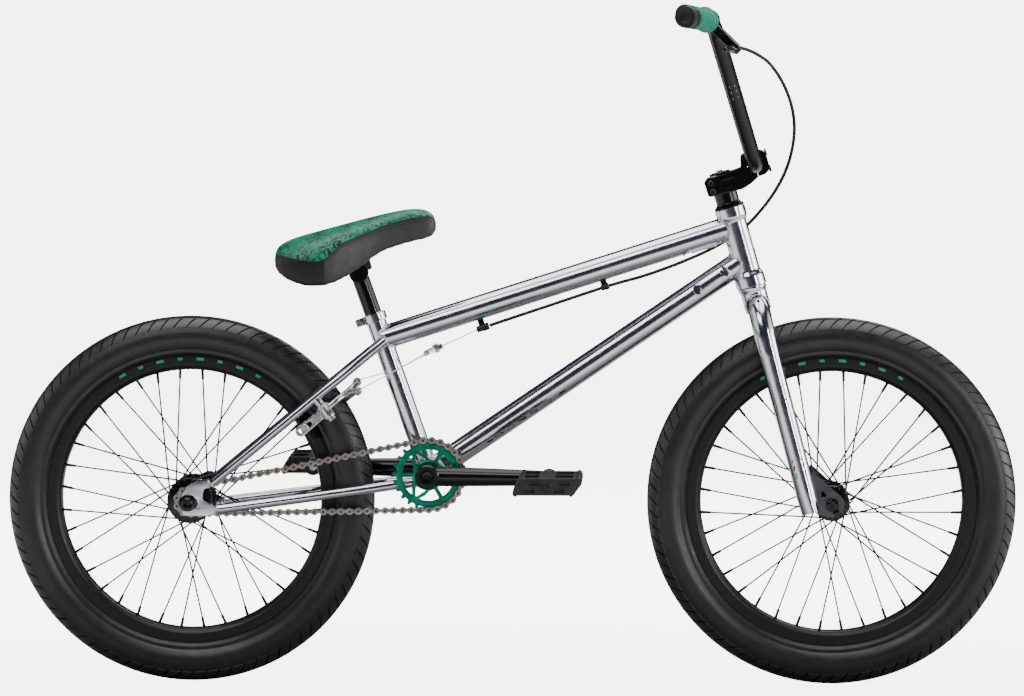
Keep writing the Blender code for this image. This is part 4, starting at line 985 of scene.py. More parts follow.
def build_fork_dropout(side, sign):
    width, reach, lean = 5.4, 18.0, math.radians(-60.0)
    mouth = [
        (
            reach * math.cos(lean) + turn * width * math.sin(lean),
            reach * math.sin(lean) - turn * width * math.cos(lean),
        )
        for turn in (1.0, -1.0)
    ]
    outline = [
        (-30.0, 46.0), (-33.0, 20.0), (-33.0, -8.0), (-28.0, -10.5), (-18.0, -14.5), (-8.0, -17.0),
        mouth[0], *arc((0.0, 0.0), width, -150.0, -390.0, 16), mouth[1], (15.8, -4.0), (17.0, 2.0),
        (15.4, 8.0), (9.5, 15.2), (-6.0, 28.0), (-22.0, 42.5), (-27.0, 47.0),
    ]
    window = [(-15.5, 11.5), (-10.0, 11.4), (-8.0, 13.5), (-11.0, 17.5), (-14.5, 20.5), (-15.8, 18.0)]
    matrix = side_matrix(WHEELBASE, sign * 53.0, TYRE_RADIUS)
    piece(
        "fork_dropout_%s" % side, flat_mesh("dropout", outline, 6.0, (window,), 0.7), "dark_steel",
        "steering", matrix=matrix,
    )


def build_headset():
    foot = HEAD_TUBE_LENGTH + 0.35
    cap = [
        (14.65, foot), (21.0, foot), (21.7, foot + 0.7), (21.4, foot + 2.4), (18.4, foot + 4.6),
        (17.2, foot + 6.4), (17.0, foot + 7.4), (16.4, foot + 7.8), (16.4, foot + 8.4), (17.0, foot + 8.8),
        (17.0, foot + 21.4), (16.5, foot + 21.8), (14.65, foot + 21.8),
    ]
    look("headset_cap", lathe("cap", cap, 64), "black", "steering", HEAD)
    lid = [(10.0, 167.5), (15.6, 167.5), (15.6, 170.0), (14.4, 171.2), (5.0, 171.6)]
    piece("steerer_lid", lathe("lid", lid, 48, closed=False), "black", "steering", matrix=HEAD)
    bolt = shift(0, 0, 171.0)
    piece("steerer_bolt", socket_screw(4.6, 2.8), "bearing", "steering", matrix=HEAD @ bolt)
    for level in ("upper", "lower"):
        show_bearing(level + "_headset_bearing")


def show_bearing(node):
    """Gives a CAD bearing, which stays as it is, its finish."""
    slots = NODES[node].data.materials
    slots.clear()
    slots.append(PAINT["bearing"])


# ---- stem, bars, grips and lever -----------------------------------------------------------------
BAR_FOOT = (814.0, 66.0, 752.2)
BAR_SHOULDER = (752.1, 178.0, 957.8)
BAR_END = (713.2, BAR_HALF_WIDTH, 965.4)
BAR_CLAMP = (52.0, 168.0)
BAR_BORE = 11.4
STEM_WIDTH = 50.0
CROSSBAR_SHARE = 0.56


def bar_corner(point, sign):
    return at(point[0], sign * point[1], point[2])


def grip_point(side_distance, sign):
    share = (side_distance - BAR_SHOULDER[1]) / (BAR_HALF_WIDTH - BAR_SHOULDER[1])
    return bar_corner(BAR_SHOULDER, sign).lerp(bar_corner(BAR_END, sign), share)


def clamp_cutter():
    """The handlebar's seat through the stem."""
    start, end = (head_point(BAR_CLAMP[0], side, BAR_CLAMP[1]) for side in (-60, 60))
    return bar_mesh("cut", start, end, BAR_BORE, sides=64)


def build_stem():
    flat = HEAD @ UPRIGHT
    body = [
        (-25.0, 143.0), (-22.0, 140.6), (26.0, 139.2), (40.0, 143.6), (52.0, 150.0), (52.0, 186.6),
        (37.0, 186.6), (34.5, 183.0), (31.5, 170.0), (28.0, 168.6), (-20.0, 166.6), (-25.5, 161.5),
    ]
    mesh = flat_mesh("stem", body, STEM_WIDTH, bevel=1.2)
    pocket = block_mesh("pocket", (22.0, 12.0, 10.0), 2.0)
    cutters = [
        bar_mesh("cut", head_point(0, 0, 120), head_point(0, 0, 200), 14.6, sides=64), clamp_cutter()
    ]
    mesh.transform(flat)
    for side in (-1.0, 1.0):
        other = pocket.copy()
        other.transform(HEAD @ shift(8.0, side * 27.0, 153.5) @ UPRIGHT)
        cutters.append(other)
    split = block_mesh("split", (16.0, 2.4, 40.0))
    split.transform(HEAD @ shift(-22.0, 0, 153.0))
    cutters.append(split)
    look("stem", carved(mesh, *cutters), "black", "steering", smooth=30.0)
    front = [
        (52.6, 150.4), (62.0, 150.8), (68.4, 154.6), (71.5, 160.5), (71.5, 177.0), (68.4, 183.4),
        (62.0, 186.6), (52.6, 187.0),
    ]
    face = flat_mesh("face", front, STEM_WIDTH, bevel=0.8)
    face.transform(flat)
    window = block_mesh("window", (30.0, 26.0, 16.0), 2.0)
    window.transform(HEAD @ shift(70.0, 0, 168.5))
    face = carved(face, clamp_cutter(), window)
    look("stem_faceplate", face, "black", "steering", smooth=30.0)
    screws = []
    for height in (156.5, 180.5):
        for side in (-19.0, 19.0):
            start = head_point(69.4, side, height)
            screws.append((socket_screw(4.4, 3.6), along(start, head_point(90, side, height))))
    for height in (147.5, 159.5):
        for sign in (-1.0, 1.0):
            start, end = (head_point(-16.5, sign * reach, height) for reach in (24.2, 60.0))
            screws.append((socket_screw(4.2, 4.0), along(start, end)))
    piece("stem_screws", joined("screws", *screws), "dark_steel", "steering")


def build_bars():
    corners = []
    for sign in (-1.0, 1.0):
        side = [bar_corner(BAR_END, sign), bar_corner(BAR_SHOULDER, sign), bar_corner(BAR_FOOT, sign)]
        corners += side if sign < 0.0 else side[::-1]
    route = rounded_path(corners, (45.0, 34.0, 34.0, 45.0), 12)
    look("handlebar", sweep("bar", route, BAR_RADIUS, 48), "black", "steering")
    uprights = [(bar_corner(BAR_FOOT, sign), bar_corner(BAR_SHOULDER, sign), BAR_RADIUS) for sign in (-1, 1)]
    ends = [foot.lerp(shoulder, CROSSBAR_SHARE) for foot, shoulder, _ in uprights]
    first, last = tube_rings(*ends, 9.0, *[(a, b, r - 0.6) for a, b, r in uprights])
    grid = [first + (last - first) * share for share in np.linspace(0.0, 1.0, 8)]
    look("crossbar", grid_mesh("crossbar", grid), "black", "steering")
    for (side, _), ring in zip(SIDES, tube_rings(*ends, 9.2, *uprights)):
        bead = weld("crossbar_%s_weld" % side, ring, "steering", 1.5)
        bead.data.materials[0] = PAINT["black"]
    mark_bars()


def mark_bars():
    """Plain pale bars printed on the right upright."""
    low, high = bar_corner(BAR_FOOT, -1.0), bar_corner(BAR_SHOULDER, -1.0)
    for index, share in enumerate((0.5, 0.54, 0.58)):
        mesh = flat_mesh("mark", [(-4.0, -2.2), (4.0, -1.2), (4.0, 2.2), (-4.0, 1.2)], 0.3)
        bend_round(mesh, BAR_RADIUS)
        place = along(low.lerp(high, share), high) @ Matrix.Rotation(math.radians(-90), 4, "X")
        face = Matrix.Rotation(facing_turn(place), 4, "Y")
        piece("bar_mark_%d" % index, mesh, "pale_print", "steering", matrix=place @ face)


def facing_turn(place):
    """Turn about local Y that brings local Z towards the rider's right."""
    local = place.to_3x3().inverted() @ Vector((0.0, -1.0, 0.0))
    return math.atan2(local.x, local.z)


def build_grips():
    for side, sign in SIDES:
        start, end = grip_point(GRIP_START, sign), grip_point(BAR_HALF_WIDTH, sign)
        length = (end - start).length / MM
        ribs = []
        count = 30
        for index in range(count):
            near = 16.0 + (length - 34.0) * index / count
            step = (length - 34.0) / count
            ribs += [
                (14.9, near), (14.9, near + 0.45 * step), (13.6, near + 0.55 * step),
                (13.6, near + 0.9 * step),
            ]
        profile = [
            (11.45, 0.0), (16.6, 0.0), (17.4, 0.8), (17.4, 3.0), (16.6, 3.9), (14.6, 4.6), (14.2, 7.0),
            (14.4, 14.0), *ribs, (14.9, length - 17.0), (14.9, length - 3.0), (14.2, length - 1.0),
            (11.45, length - 0.6),
        ]
        matrix = along(start, end)
        mesh = lathe("grip", profile, 48)
        look("grip_" + side, mesh, "grip", "steering", matrix, 30.0)
        plug = [
            (11.0, length - 8.0), (11.0, length + 0.4), (14.4, length + 0.4), (14.8, length + 1.2),
            (14.2, length + 2.8), (9.0, length + 3.6), (7.5, length + 2.6), (2.0, length + 2.6),
        ]
        piece("bar_plug_" + side, lathe("plug", plug, 48, closed=False), "rubber", "steering", matrix=matrix)


CLAMP_SIDE = 215.0
LEVER_REACH = 54.0
LEVER_DROP = 44.0
CABLE_EXIT = 50.0


def lever_axes():
    outward = (grip_point(BAR_HALF_WIDTH, -1.0) - grip_point(GRIP_START, -1.0)).normalized()
    lean = math.radians(LEVER_DROP)
    reach = Vector((math.cos(lean), 0.0, -math.sin(lean)))
    reach = (reach - outward * reach.dot(outward)).normalized()
    return outward, reach


def build_lever():
    outward, reach = lever_axes()
    centre = grip_point(CLAMP_SIDE, -1.0)
    turn = Matrix((reach, outward, reach.cross(outward))).transposed().to_4x4()
    flat = Matrix.Translation(centre) @ turn
    ring = [(11.45, -7.0), (15.6, -7.0), (16.5, -6.0), (16.5, 6.0), (15.6, 7.0), (11.45, 7.0)]
    outline = [
        (12.0, -6.8), (24.0, -12.0), (34.0, -15.6), (50.0, -15.8), (58.0, -13.6), (61.4, -8.0),
        (61.0, -1.0), (57.0, 4.6), (44.0, 7.2), (30.0, 7.4), (12.0, 7.0),
    ]
    body = flat_mesh("perch", outline, 13.0, bevel=2.2)
    body.transform(flat)
    slot = block_mesh("slot", (40.0, 26.0, 7.4))
    slot.transform(Matrix.Translation(centre + reach * 56.0 * MM + outward * 7.0 * MM) @ turn)
    body = carved(
        body, slot, bar_mesh("cut", centre - outward * 0.03, centre + outward * 0.03, BAR_BORE, sides=48)
    )
    clamp = lathe("ring", ring, 48)
    clamp.transform(along(centre, centre + outward))
    exit_start = centre + reach * CABLE_EXIT * MM - outward * 12.0 * MM
    barrel = lathe(
        "barrel",
        [
            (3.0, 0.0), (5.0, 0.0), (5.0, 3.0), (4.2, 3.6), (4.2, 4.4), (5.2, 5.0), (5.2, 11.0),
            (4.4, 12.0), (3.0, 12.0),
        ],
        32,
    )
    barrel.transform(along(exit_start, exit_start - outward))
    look("lever_perch", joined("perch", body, clamp, barrel), "black", "steering", smooth=30.0)
    hinge = centre + reach * LEVER_REACH * MM - outward * 0.5 * MM
    pin_axis = reach.cross(outward)
    screw = joined("pin", (socket_screw(3.8, 2.2), along(hinge + pin_axis * 6.3 * MM, hinge + pin_axis)),
                   (socket_screw(3.8, 2.2), along(hinge - pin_axis * 6.3 * MM, hinge - pin_axis)))
    piece("lever_pin", screw, "bearing", "steering")
    blade = [
        Vector((x, y, 0))
        for x, y in (
            (-5.6, -2.0), (5.6, -4.4), (8.6, 6.0), (9.4, 24.0), (9.6, 42.0), (8.2, 62.0), (8.0, 78.0),
            (9.8, 91.0), (10.6, 97.0), (8.0, 100.4), (3.6, 98.4), (1.2, 90.0), (-0.2, 74.0), (-0.8, 56.0),
            (-1.0, 34.0), (-3.4, 16.0), (-6.0, 6.0),
        )
    ]
    outline = [(point.x, point.y) for point in smooth_path([*blade, blade[0]], 3)[:-1]]
    mesh = flat_mesh("blade", outline, 6.6, bevel=1.9)
    look("lever_blade", mesh, "black", "brake_lever", Matrix.Translation(hinge) @ turn, 30.0)


# ---- wheels --------------------------------------------------------------------------------------
SPOKES_PER_FLANGE = 18
SPOKE_RADIUS = 1.25
SPOKE_SWEEP = 60.0
FLANGE_SPLAY = 3.1
TREAD_BLOCKS = 84
TYRE_RING = TYRE_RADIUS - TYRE_SECTION


def tread_depth(section, share):
    """How far a tread point lies below the tyre's round shape, in millimetres."""
    side = abs(section)
    groove = 1.0 if 0.05 < share < 0.2 else 0.0
    depth = 0.0
    if side < 62.0:
        depth += 2.0 * groove * (1.0 if 9.0 < side else 0.0)
        depth += 1.4 if 20.5 < side < 24.5 else 0.0
        depth += 1.2 if side < 2.2 else 0.0
    elif side < 66.0:
        depth += 0.7
    else:
        depth += 0.9 + 0.22 * math.sin(section * 0.9)
    return depth


def tyre_mesh(name):
    """Tread blocks with slanted grooves, ringed sidewalls and beads; local Z is the axle."""
    sections = [
        0.0, 1.8, 2.6, 6.0, 8.6, 9.6, 14.0, 20.0, 21.0, 24.0, 25.0, 32.0, 40.0, 48.0, 56.0, 61.4, 62.6,
        65.0, 67.0,
    ]
    sections += [67.0 + 3.4 * step for step in range(1, 26)]
    sections = [-value for value in sections[:0:-1]] + sections
    shares = (0.0, 0.045, 0.07, 0.18, 0.21, 0.42, 0.7)
    angles, marks = [], []
    for index in range(TREAD_BLOCKS):
        for share in shares:
            angles.append((index + share) * math.tau / TREAD_BLOCKS)
            marks.append(share)
    angles, marks = np.array(angles), np.array(marks)
    rows = []
    for section in sections:
        lean = math.radians(section)
        slant = 1.15 * math.tau / TREAD_BLOCKS * min(abs(section), 66.0) / 66.0
        depth = np.array([tread_depth(section, share) for share in marks])
        flatten = 1.0 - 0.018 * math.cos(lean) ** 2
        spread = (TYRE_SECTION - depth) * flatten
        radius = TYRE_RING + 0.5 + spread * math.cos(lean)
        height = spread * math.sin(lean)
        turned = angles + slant
        rows.append(np.stack([radius * np.cos(turned), radius * np.sin(turned), height], 1) * MM)
    inner = [(205.5, 15.4), (204.0, 11.0), (214.0, 21.0), (236.0, 26.0), (258.0, 15.0), (262.0, 0.0),
             (258.0, -15.0), (236.0, -26.0), (214.0, -21.0), (204.0, -11.0), (205.5, -15.4)]
    slant = 1.15 * math.tau / TREAD_BLOCKS
    for radius, height in inner:
        turned = angles + slant
        rows.append(
            np.stack(
                [radius * np.cos(turned), radius * np.sin(turned), np.full(len(turned), height)], 1
            ) * MM
        )
    return grid_mesh(name, rows, wrap_rows=True)


def rim_profile():
    return [
        (RIM_OUTER, RIM_HALF - 0.6), (RIM_OUTER - 0.6, RIM_HALF), (196.5, RIM_HALF),
        (195.3, RIM_HALF - 0.6), (193.0, 15.4), (190.0, 12.6), (188.6, 9.6), (RIM_INNER + 0.1, 6.0),
        (RIM_INNER, 0.0), (RIM_INNER + 0.1, -6.0), (188.6, -9.6), (190.0, -12.6), (193.0, -15.4),
        (195.3, 0.6 - RIM_HALF), (196.5, -RIM_HALF), (RIM_OUTER - 0.6, -RIM_HALF),
        (RIM_OUTER, 0.6 - RIM_HALF), (RIM_OUTER, -15.0), (204.0, -15.0), (197.5, -8.0), (197.5, 8.0),
        (204.0, 15.0), (RIM_OUTER, 15.0),
    ]


def spoke_meshes(flange_radius, flange_side):
    """Thirty-six spokes laced three-cross, each with an elbow at the hub and a nipple at the rim."""
    parts, nipples = [], []
    step = math.tau / SPOKES_PER_FLANGE
    for flange in (-1.0, 1.0):
        for index in range(SPOKES_PER_FLANGE):
            leading = 1.0 if index % 2 else -1.0
            rim_angle = step * (index + 0.25 * flange)
            hub_angle = rim_angle + leading * math.radians(SPOKE_SWEEP)
            splay = FLANGE_SPLAY * leading
            hub = Vector((
                flange_radius * math.cos(hub_angle), flange_radius * math.sin(hub_angle),
                flange * flange_side + splay,
            ))
            rim = Vector((
                (RIM_INNER + 1.0) * math.cos(rim_angle), (RIM_INNER + 1.0) * math.sin(rim_angle),
                flange * 4.0,
            ))
            through = hub.copy()
            through.z -= 5.2 * leading
            path = [
                through * MM, (hub - Vector((0, 0, 0.6 * leading))) * MM, hub.lerp(rim, 0.012) * MM,
                rim * MM,
            ]
            parts.append(sweep("spoke", path, SPOKE_RADIUS, 8))
            nipple_path = [rim.lerp(hub, share) * MM for share in (-0.01, 0.02, 0.075, 0.085)]
            nipples.append(sweep("nipple", nipple_path, [2.6, 2.1, 2.0, 1.4], 12))
            head = lathe("head", [(1.9, 0.0), (1.9, 0.9), (1.0, 1.5)], 12, closed=False)
            head.transform(along(through * MM, (through - Vector((0, 0, leading))) * MM))
            parts.append(head)
    return joined("spokes", *parts), joined("nipples", *nipples)


def hub_profiles():
    rear = [
        (7.35, 34.0), (16.0, 34.0), (17.4, 33.6), (31.6, 32.6), (33.0, 31.6), (33.0, 28.4), (31.6, 27.4),
        (22.0, 25.6), (17.8, 21.0), (17.0, 12.0), (17.0, -12.0), (17.8, -21.0), (22.0, -25.6),
        (31.6, -27.4), (33.0, -28.4), (33.0, -31.6), (31.6, -32.6), (17.4, -33.6), (16.4, -36.0),
        (14.0, -44.0), (12.6, -53.0), (7.35, -53.5),
    ]
    front = [
        (5.35, 48.5), (9.4, 48.5), (10.6, 47.6), (11.0, 40.0), (14.0, 36.6), (15.0, 35.4), (24.8, 34.6),
        (26.0, 33.6), (26.0, 30.4), (24.8, 29.4), (18.0, 27.6), (13.2, 23.0), (12.4, 12.0), (12.4, -12.0),
        (13.2, -23.0), (18.0, -27.6), (24.8, -29.4), (26.0, -30.4), (26.0, -33.6), (24.8, -34.6),
        (15.0, -35.4), (14.0, -36.6), (11.0, -40.0), (10.6, -47.6), (9.4, -48.5), (5.35, -48.5),
    ]
    return rear, front


def rim_marks(place, axle, body):
    """A row of plain bars printed round the top of each side of the rim."""
    marks = []
    for side in (-1.0, 1.0):
        for index in range(8):
            middle = 90.0 + (index - 3.5) * 8.2
            width = 1.5 if index % 2 else 1.0
            corners = [(202.6, -width), (202.6, width), (206.6, width), (206.6, -width)]
            mesh = flat_mesh("mark", polar(corners, middle), 0.25)
            marks.append((mesh, shift(0, 0, side * (RIM_HALF + 0.1))))
    piece(place + "_rim_marks", joined("marks", *marks), "green_print", body, matrix=side_matrix(*axle))


def build_wheels():
    rear, front = hub_profiles()
    for place, axle, hub, flange in (
        ("rear", REAR_AXLE, rear, (29.0, 30.0)), ("front", FRONT_AXLE, front, (22.5, 32.0))
    ):
        body = place + "_wheel"
        matrix = side_matrix(*axle)
        look(place + "_tyre", tyre_mesh("tyre"), "tyre", body, matrix, 32.0)
        look(place + "_rim", lathe("rim", rim_profile(), 144), "rim_black", body, matrix, 32.0)
        spokes, nipples = spoke_meshes(*flange)
        piece(place + "_spokes", spokes, "spoke_black", body, matrix=matrix)
        piece(place + "_nipples", nipples, "spoke_black", body, matrix=matrix)
        look(place + "_hub", lathe("hub", hub, 64), "black", body, matrix, 32.0)
        rim_marks(place, axle, body)


def build_axles():
    for side, sign in SIDES:
        outward = Vector((0.0, sign, 0.0))
        start = at(0, sign * 61.4, TYRE_RADIUS)
        washer = lathe(
            "washer", [(7.2, 0.0), (11.6, 0.0), (12.2, 0.8), (12.2, 2.2), (11.4, 3.2), (7.2, 3.6)], 48
        )
        head = lathe(
            "head",
            [
                (1.0, 3.0, "hex"), (4.6, 3.0, "hex"), (4.6, 10.6, "hex"), (6.4, 11.1), (7.4, 10.2),
                (7.4, 4.4), (8.6, 3.0), (8.6, 0.0),
            ],
            48,
            closed=False,
        )
        mesh = joined("bolt", (washer, along(start, start + outward)), (head, along(start, start + outward)))
        piece("rear_axle_bolt_" + side, mesh, "black", "frame", smooth=30.0)
        start = at(WHEELBASE, sign * 56.4, TYRE_RADIUS)
        washer = lathe("washer", [(5.0, 0.0), (9.4, 0.0), (9.4, 1.6), (5.0, 1.6)], 40)
        nut = hex_nut(8.6, 7.4, 5.0)
        stub = lathe("stub", [(5.0, 0.0), (5.0, 9.0), (4.2, 9.6)], 32, closed=False)
        mesh = joined(
            "nut", (washer, along(start, start + outward)),
            (nut, along(start + outward * 1.6 * MM, start + outward)),
            (stub, along(start, start + outward)),
        )
        piece("front_axle_nut_" + side, mesh, "black", "steering", smooth=30.0)
    for name, axle, radius, half, body in (
        ("rear_axle", REAR_AXLE, 7.0, 61.6, "frame"), ("front_axle", FRONT_AXLE, 5.0, 57.0, "steering")
    ):
        mesh = lathe(name, [(radius, half), (radius, -half)], 40, closed=False)
        look(name, mesh, "black", body, side_matrix(*axle))


# ---- drive ---------------------------------------------------------------------------------------
def pitch_radius(teeth):
    return CHAIN_PITCH / (2.0 * math.sin(math.pi / teeth))


def chain_pins():
    """Pin centres round the loop, from the foot of the sprocket's front arc, about the rear axle."""
    large, small = (teeth * CHAIN_PITCH / math.tau for teeth in (SPROCKET_TEETH, DRIVER_TEETH))
    lean = math.asin((large - small) / centre_distance())
    rise = math.atan2(BB_RISE, BB_X)
    straight = centre_distance() * math.cos(lean)
    front, rear = large * (math.pi + 2.0 * lean), small * (math.pi - 2.0 * lean)
    first = rise - math.pi / 2.0 - lean
    top = rise + math.pi / 2.0 + lean
    pins = []
    for index in range(CHAIN_LINKS):
        distance = index * CHAIN_PITCH
        if distance < front:
            angle = first + distance / large
            pins.append((BB_X + large * math.cos(angle), BB_RISE + large * math.sin(angle)))
        elif distance < front + straight:
            share = (distance - front) / straight
            start = (BB_X + large * math.cos(top), BB_RISE + large * math.sin(top))
            end = (small * math.cos(top), small * math.sin(top))
            pins.append(tuple(a + (b - a) * share for a, b in zip(start, end)))
        elif distance < front + straight + rear:
            angle = top + (distance - front - straight) / small
            pins.append((small * math.cos(angle), small * math.sin(angle)))
        else:
            share = (distance - front - straight - rear) / straight
            start = (small * math.cos(first), small * math.sin(first))
            end = (BB_X + large * math.cos(first), BB_RISE + large * math.sin(first))
            pins.append(tuple(a + (b - a) * share for a, b in zip(start, end)))
    return pins


def link_outline(height, waist):
    half = CHAIN_PITCH / 2.0
    right = arc((half, 0.0), height, -115.0, 115.0, 10)
    left = arc((-half, 0.0), height, 65.0, 295.0, 10)
    return right + [(0.0, waist)] + left + [(0.0, -waist)]


def build_chain():
    pins = chain_pins()
    outer, inner, rollers, rivets = [], [], [], []
    for index, pin in enumerate(pins):
        after = pins[(index + 1) % len(pins)]
        middle = ((pin[0] + after[0]) / 2.0, (pin[1] + after[1]) / 2.0)
        angle = math.atan2(after[1] - pin[1], after[0] - pin[0])
        base = side_matrix(middle[0], CHAINLINE, TYRE_RADIUS + middle[1]) @ Matrix.Rotation(angle, 4, "Z")
        depth = 3.75 if index % 2 else 2.6
        for side in (-1.0, 1.0):
            mesh = flat_mesh("link", link_outline(4.9 if index % 2 else 4.6, 1.9), 0.95, bevel=0.18)
            (outer if index % 2 else inner).append((mesh, base @ shift(0, 0, side * depth)))
        place = side_matrix(pin[0], CHAINLINE, TYRE_RADIUS + pin[1])
        rollers.append((lathe("roller", [(3.85, 2.1), (3.85, -2.1)], 16, closed=False), place))
        rivet = lathe("rivet", [(1.7, 4.5), (2.1, 4.35), (2.1, -4.35), (1.7, -4.5)], 10, closed=False)
        rivets.append((rivet, place))
    piece("chain_outer_plates", joined("outer", *outer), "chain", "frame", ("chain",))
    piece("chain_inner_plates", joined("inner", *inner), "cog", "frame")
    piece("chain_rollers", joined("rollers", *rollers), "cog", "frame")
    piece("chain_rivets", joined("rivets", *rivets), "dark_steel", "frame")


def toothed_outline(teeth, first_tooth, root_drop, tip_rise):
    """A sprocket's rim: round-bottomed seats for the rollers between narrow teeth."""
    pitch = pitch_radius(teeth)
    points = []
    steps = 14
    for index in range(teeth * steps):
        share = index % steps / steps
        off = abs(share - (1.0 if share > 0.5 else 0.0)) * 2.0
        if off < 0.2:
            rise = 1.0
        elif off < 0.62:
            rise = 0.5 + 0.5 * math.cos(math.pi * (off - 0.2) / 0.42)
        else:
            rise = 0.0
        radius = pitch - root_drop + (root_drop + tip_rise) * rise
        angle = first_tooth + index * math.tau / (teeth * steps)
        points.append((radius * math.cos(angle), radius * math.sin(angle)))
    return points


def sprocket_windows():
    """Nine openings: three between the legs of each V, and two beside each single spoke."""
    windows = []
    for turn in (0.0, 120.0, 240.0):
        middle = [
            (22.5, -21), (22.5, -10), (22.5, 0), (22.5, 10), (22.5, 21), (29.0, 8.5), (35.0, 1.6),
            (35.0, -1.6), (29.0, -8.5),
        ]
        windows.append(polar(middle, turn))
        side = [
            (22.5, 37.5), (22.5, 45), (22.5, 52.5), (30.0, 54.0), (36.6, 55.2), (37.2, 48), (37.2, 36),
            (37.2, 24), (37.0, 13), (36.0, 10.0), (30.0, 22.0),
        ]
        windows.append(polar(side, turn))
        windows.append(polar([(r, 120.0 - a) for r, a in reversed(side)], turn))
    return windows


def build_sprockets():
    rise = math.atan2(BB_RISE, BB_X)
    large, small = (teeth * CHAIN_PITCH / math.tau for teeth in (SPROCKET_TEETH, DRIVER_TEETH))
    lean = math.asin((large - small) / centre_distance())
    first = rise - math.pi / 2.0 - lean + math.pi / SPROCKET_TEETH
    outline = toothed_outline(SPROCKET_TEETH, first, 4.4, 0.9)
    mesh = flat_mesh("sprocket", outline, 3.4, (circle((0, 0), 9.9, 32), *sprocket_windows()), 0.45)
    spread = lathe(
        "boss", [(9.9, 2.5), (20.0, 2.5), (21.2, 1.8), (21.2, -1.8), (20.0, -2.5), (9.9, -2.5)], 64
    )
    rim = lathe("rim", [(38.6, 2.5), (44.4, 2.5), (45.4, 1.7), (45.4, -1.7), (44.4, -2.5), (38.6, -2.5)], 96)
    look(
        "sprocket", joined("sprocket", mesh, spread, rim), "green", "crankset",
        side_matrix(BB_X, CHAINLINE, BB[2]), 30.0,
    )
    pins = chain_pins()
    rear = min(pins, key=lambda pin: pin[0])
    phase = math.atan2(rear[1], rear[0]) + math.pi / DRIVER_TEETH
    teeth = flat_mesh(
        "cog", toothed_outline(DRIVER_TEETH, phase, 4.2, 3.0), 3.2, (circle((0, 0), 7.4, 32),), 0.3
    )
    body = lathe(
        "driver",
        [(7.35, 11.5), (10.5, 11.5), (12.5, 3.5), (13.0, 1.7), (13.0, -1.7), (12.5, -7.5), (7.35, -7.5)],
        48,
    )
    look(
        "driver_cog", joined("driver", teeth, body), "cog", "driver",
        side_matrix(0, CHAINLINE, TYRE_RADIUS), 30.0,
    )


def crank_point(sign, out, y):
    return at(BB_X - sign * out, sign * y, BB[2])


def build_cranks():
    for side, sign in SIDES:
        ways = [
            (6, 60), (30, 62.4), (60, 65.4), (90, 68.8), (120, 72.6), (150, 76.2), (CRANK_LENGTH - 4, 78.6)
        ]
        route = smooth_path([crank_point(sign, out, y) for out, y in ways], 4)
        shares = np.linspace(0.0, 1.0, len(route))
        radii = 14.4 - 4.0 * shares**1.5
        beam = sweep("beam", route, radii, 40, flat=0.86, up=(0.0, 0.0, 1.0))
        boss = lathe(
            "boss",
            [
                (16.2, 0.0), (17.2, 1.0), (17.2, 28.5), (15.8, 30.0), (10.6, 30.0), (9.9, 29.2),
                (9.9, 24.0), (9.85, 24.0), (9.85, 0.0),
            ],
            64,
        )
        boss.transform(along(crank_point(sign, 0, 46), crank_point(sign, 0, 80)))
        end = lathe(
            "end",
            [(6.3, 0.0), (12.2, 0.0), (13.2, 1.2), (13.2, 16.8), (12.2, 18.0), (7.6, 18.0), (6.3, 16.8)],
            56,
        )
        end.transform(along(crank_point(sign, CRANK_LENGTH, 69.5), crank_point(sign, CRANK_LENGTH, 100)))
        beam = carved(
            beam,
            bar_mesh("cut", crank_point(sign, 0, 40), crank_point(sign, 0, 90), 12.0, sides=48),
            bar_mesh(
                "cut", crank_point(sign, CRANK_LENGTH, 60), crank_point(sign, CRANK_LENGTH, 100), 9.0,
                sides=48,
            ),
        )
        look("crank_arm_" + side, joined("arm", beam, boss, end), "black", "crankset")
        bolt = lathe(
            "bolt",
            [(1.0, 3.0, "hex"), (4.2, 3.0, "hex"), (4.2, 6.8, "hex"), (7.4, 7.0), (8.2, 6.2), (8.2, 0.0)],
            36, closed=False,
        )
        piece(
            "crank_bolt_" + side, bolt, "black", "crankset",
            matrix=along(crank_point(sign, 0, 66.0), crank_point(sign, 0, 90)),
        )
        cover = lathe(
            "cover", [(10.0, 0.0), (20.0, 0.0), (20.4, 0.7), (19.6, 1.5), (13.0, 2.6), (10.0, 2.6)], 64
        )
        piece(
            "bb_cover_" + side, cover, "black", "frame",
            matrix=along(at(BB_X, sign * 36.2, BB[2]), at(BB_X, sign * 60, BB[2])),
        )
        spacer = lathe("spacer", [(9.6, 0.0), (12.8, 0.0), (12.8, 6.6), (9.6, 6.6)], 48)
        if sign > 0.0:
            piece(
                "crank_spacer", spacer, "black", "crankset",
                matrix=along(crank_point(sign, 0, 39.2), crank_point(sign, 0, 60)),
            )
    piece(
        "crank_spindle_look", lathe("spindle", [(9.5, 70.0), (9.5, -70.0)], 48, closed=False), "black",
        "crankset", ("spindle",), side_matrix(*BB),
    )
    for side, _ in SIDES:
        show_bearing("bb_bearing_" + side)


PEDAL_INNER = 91.0
PEDAL_OUTER = 199.0


def pedal_bar(sign, near, far, radius, sides=32):
    """A bar on the pedal's axle, between two distances from the middle of the bicycle."""
    start, end = (crank_point(sign, CRANK_LENGTH, y) for y in (near, far))
    return bar_mesh("bar", start, end, radius, sides=sides)


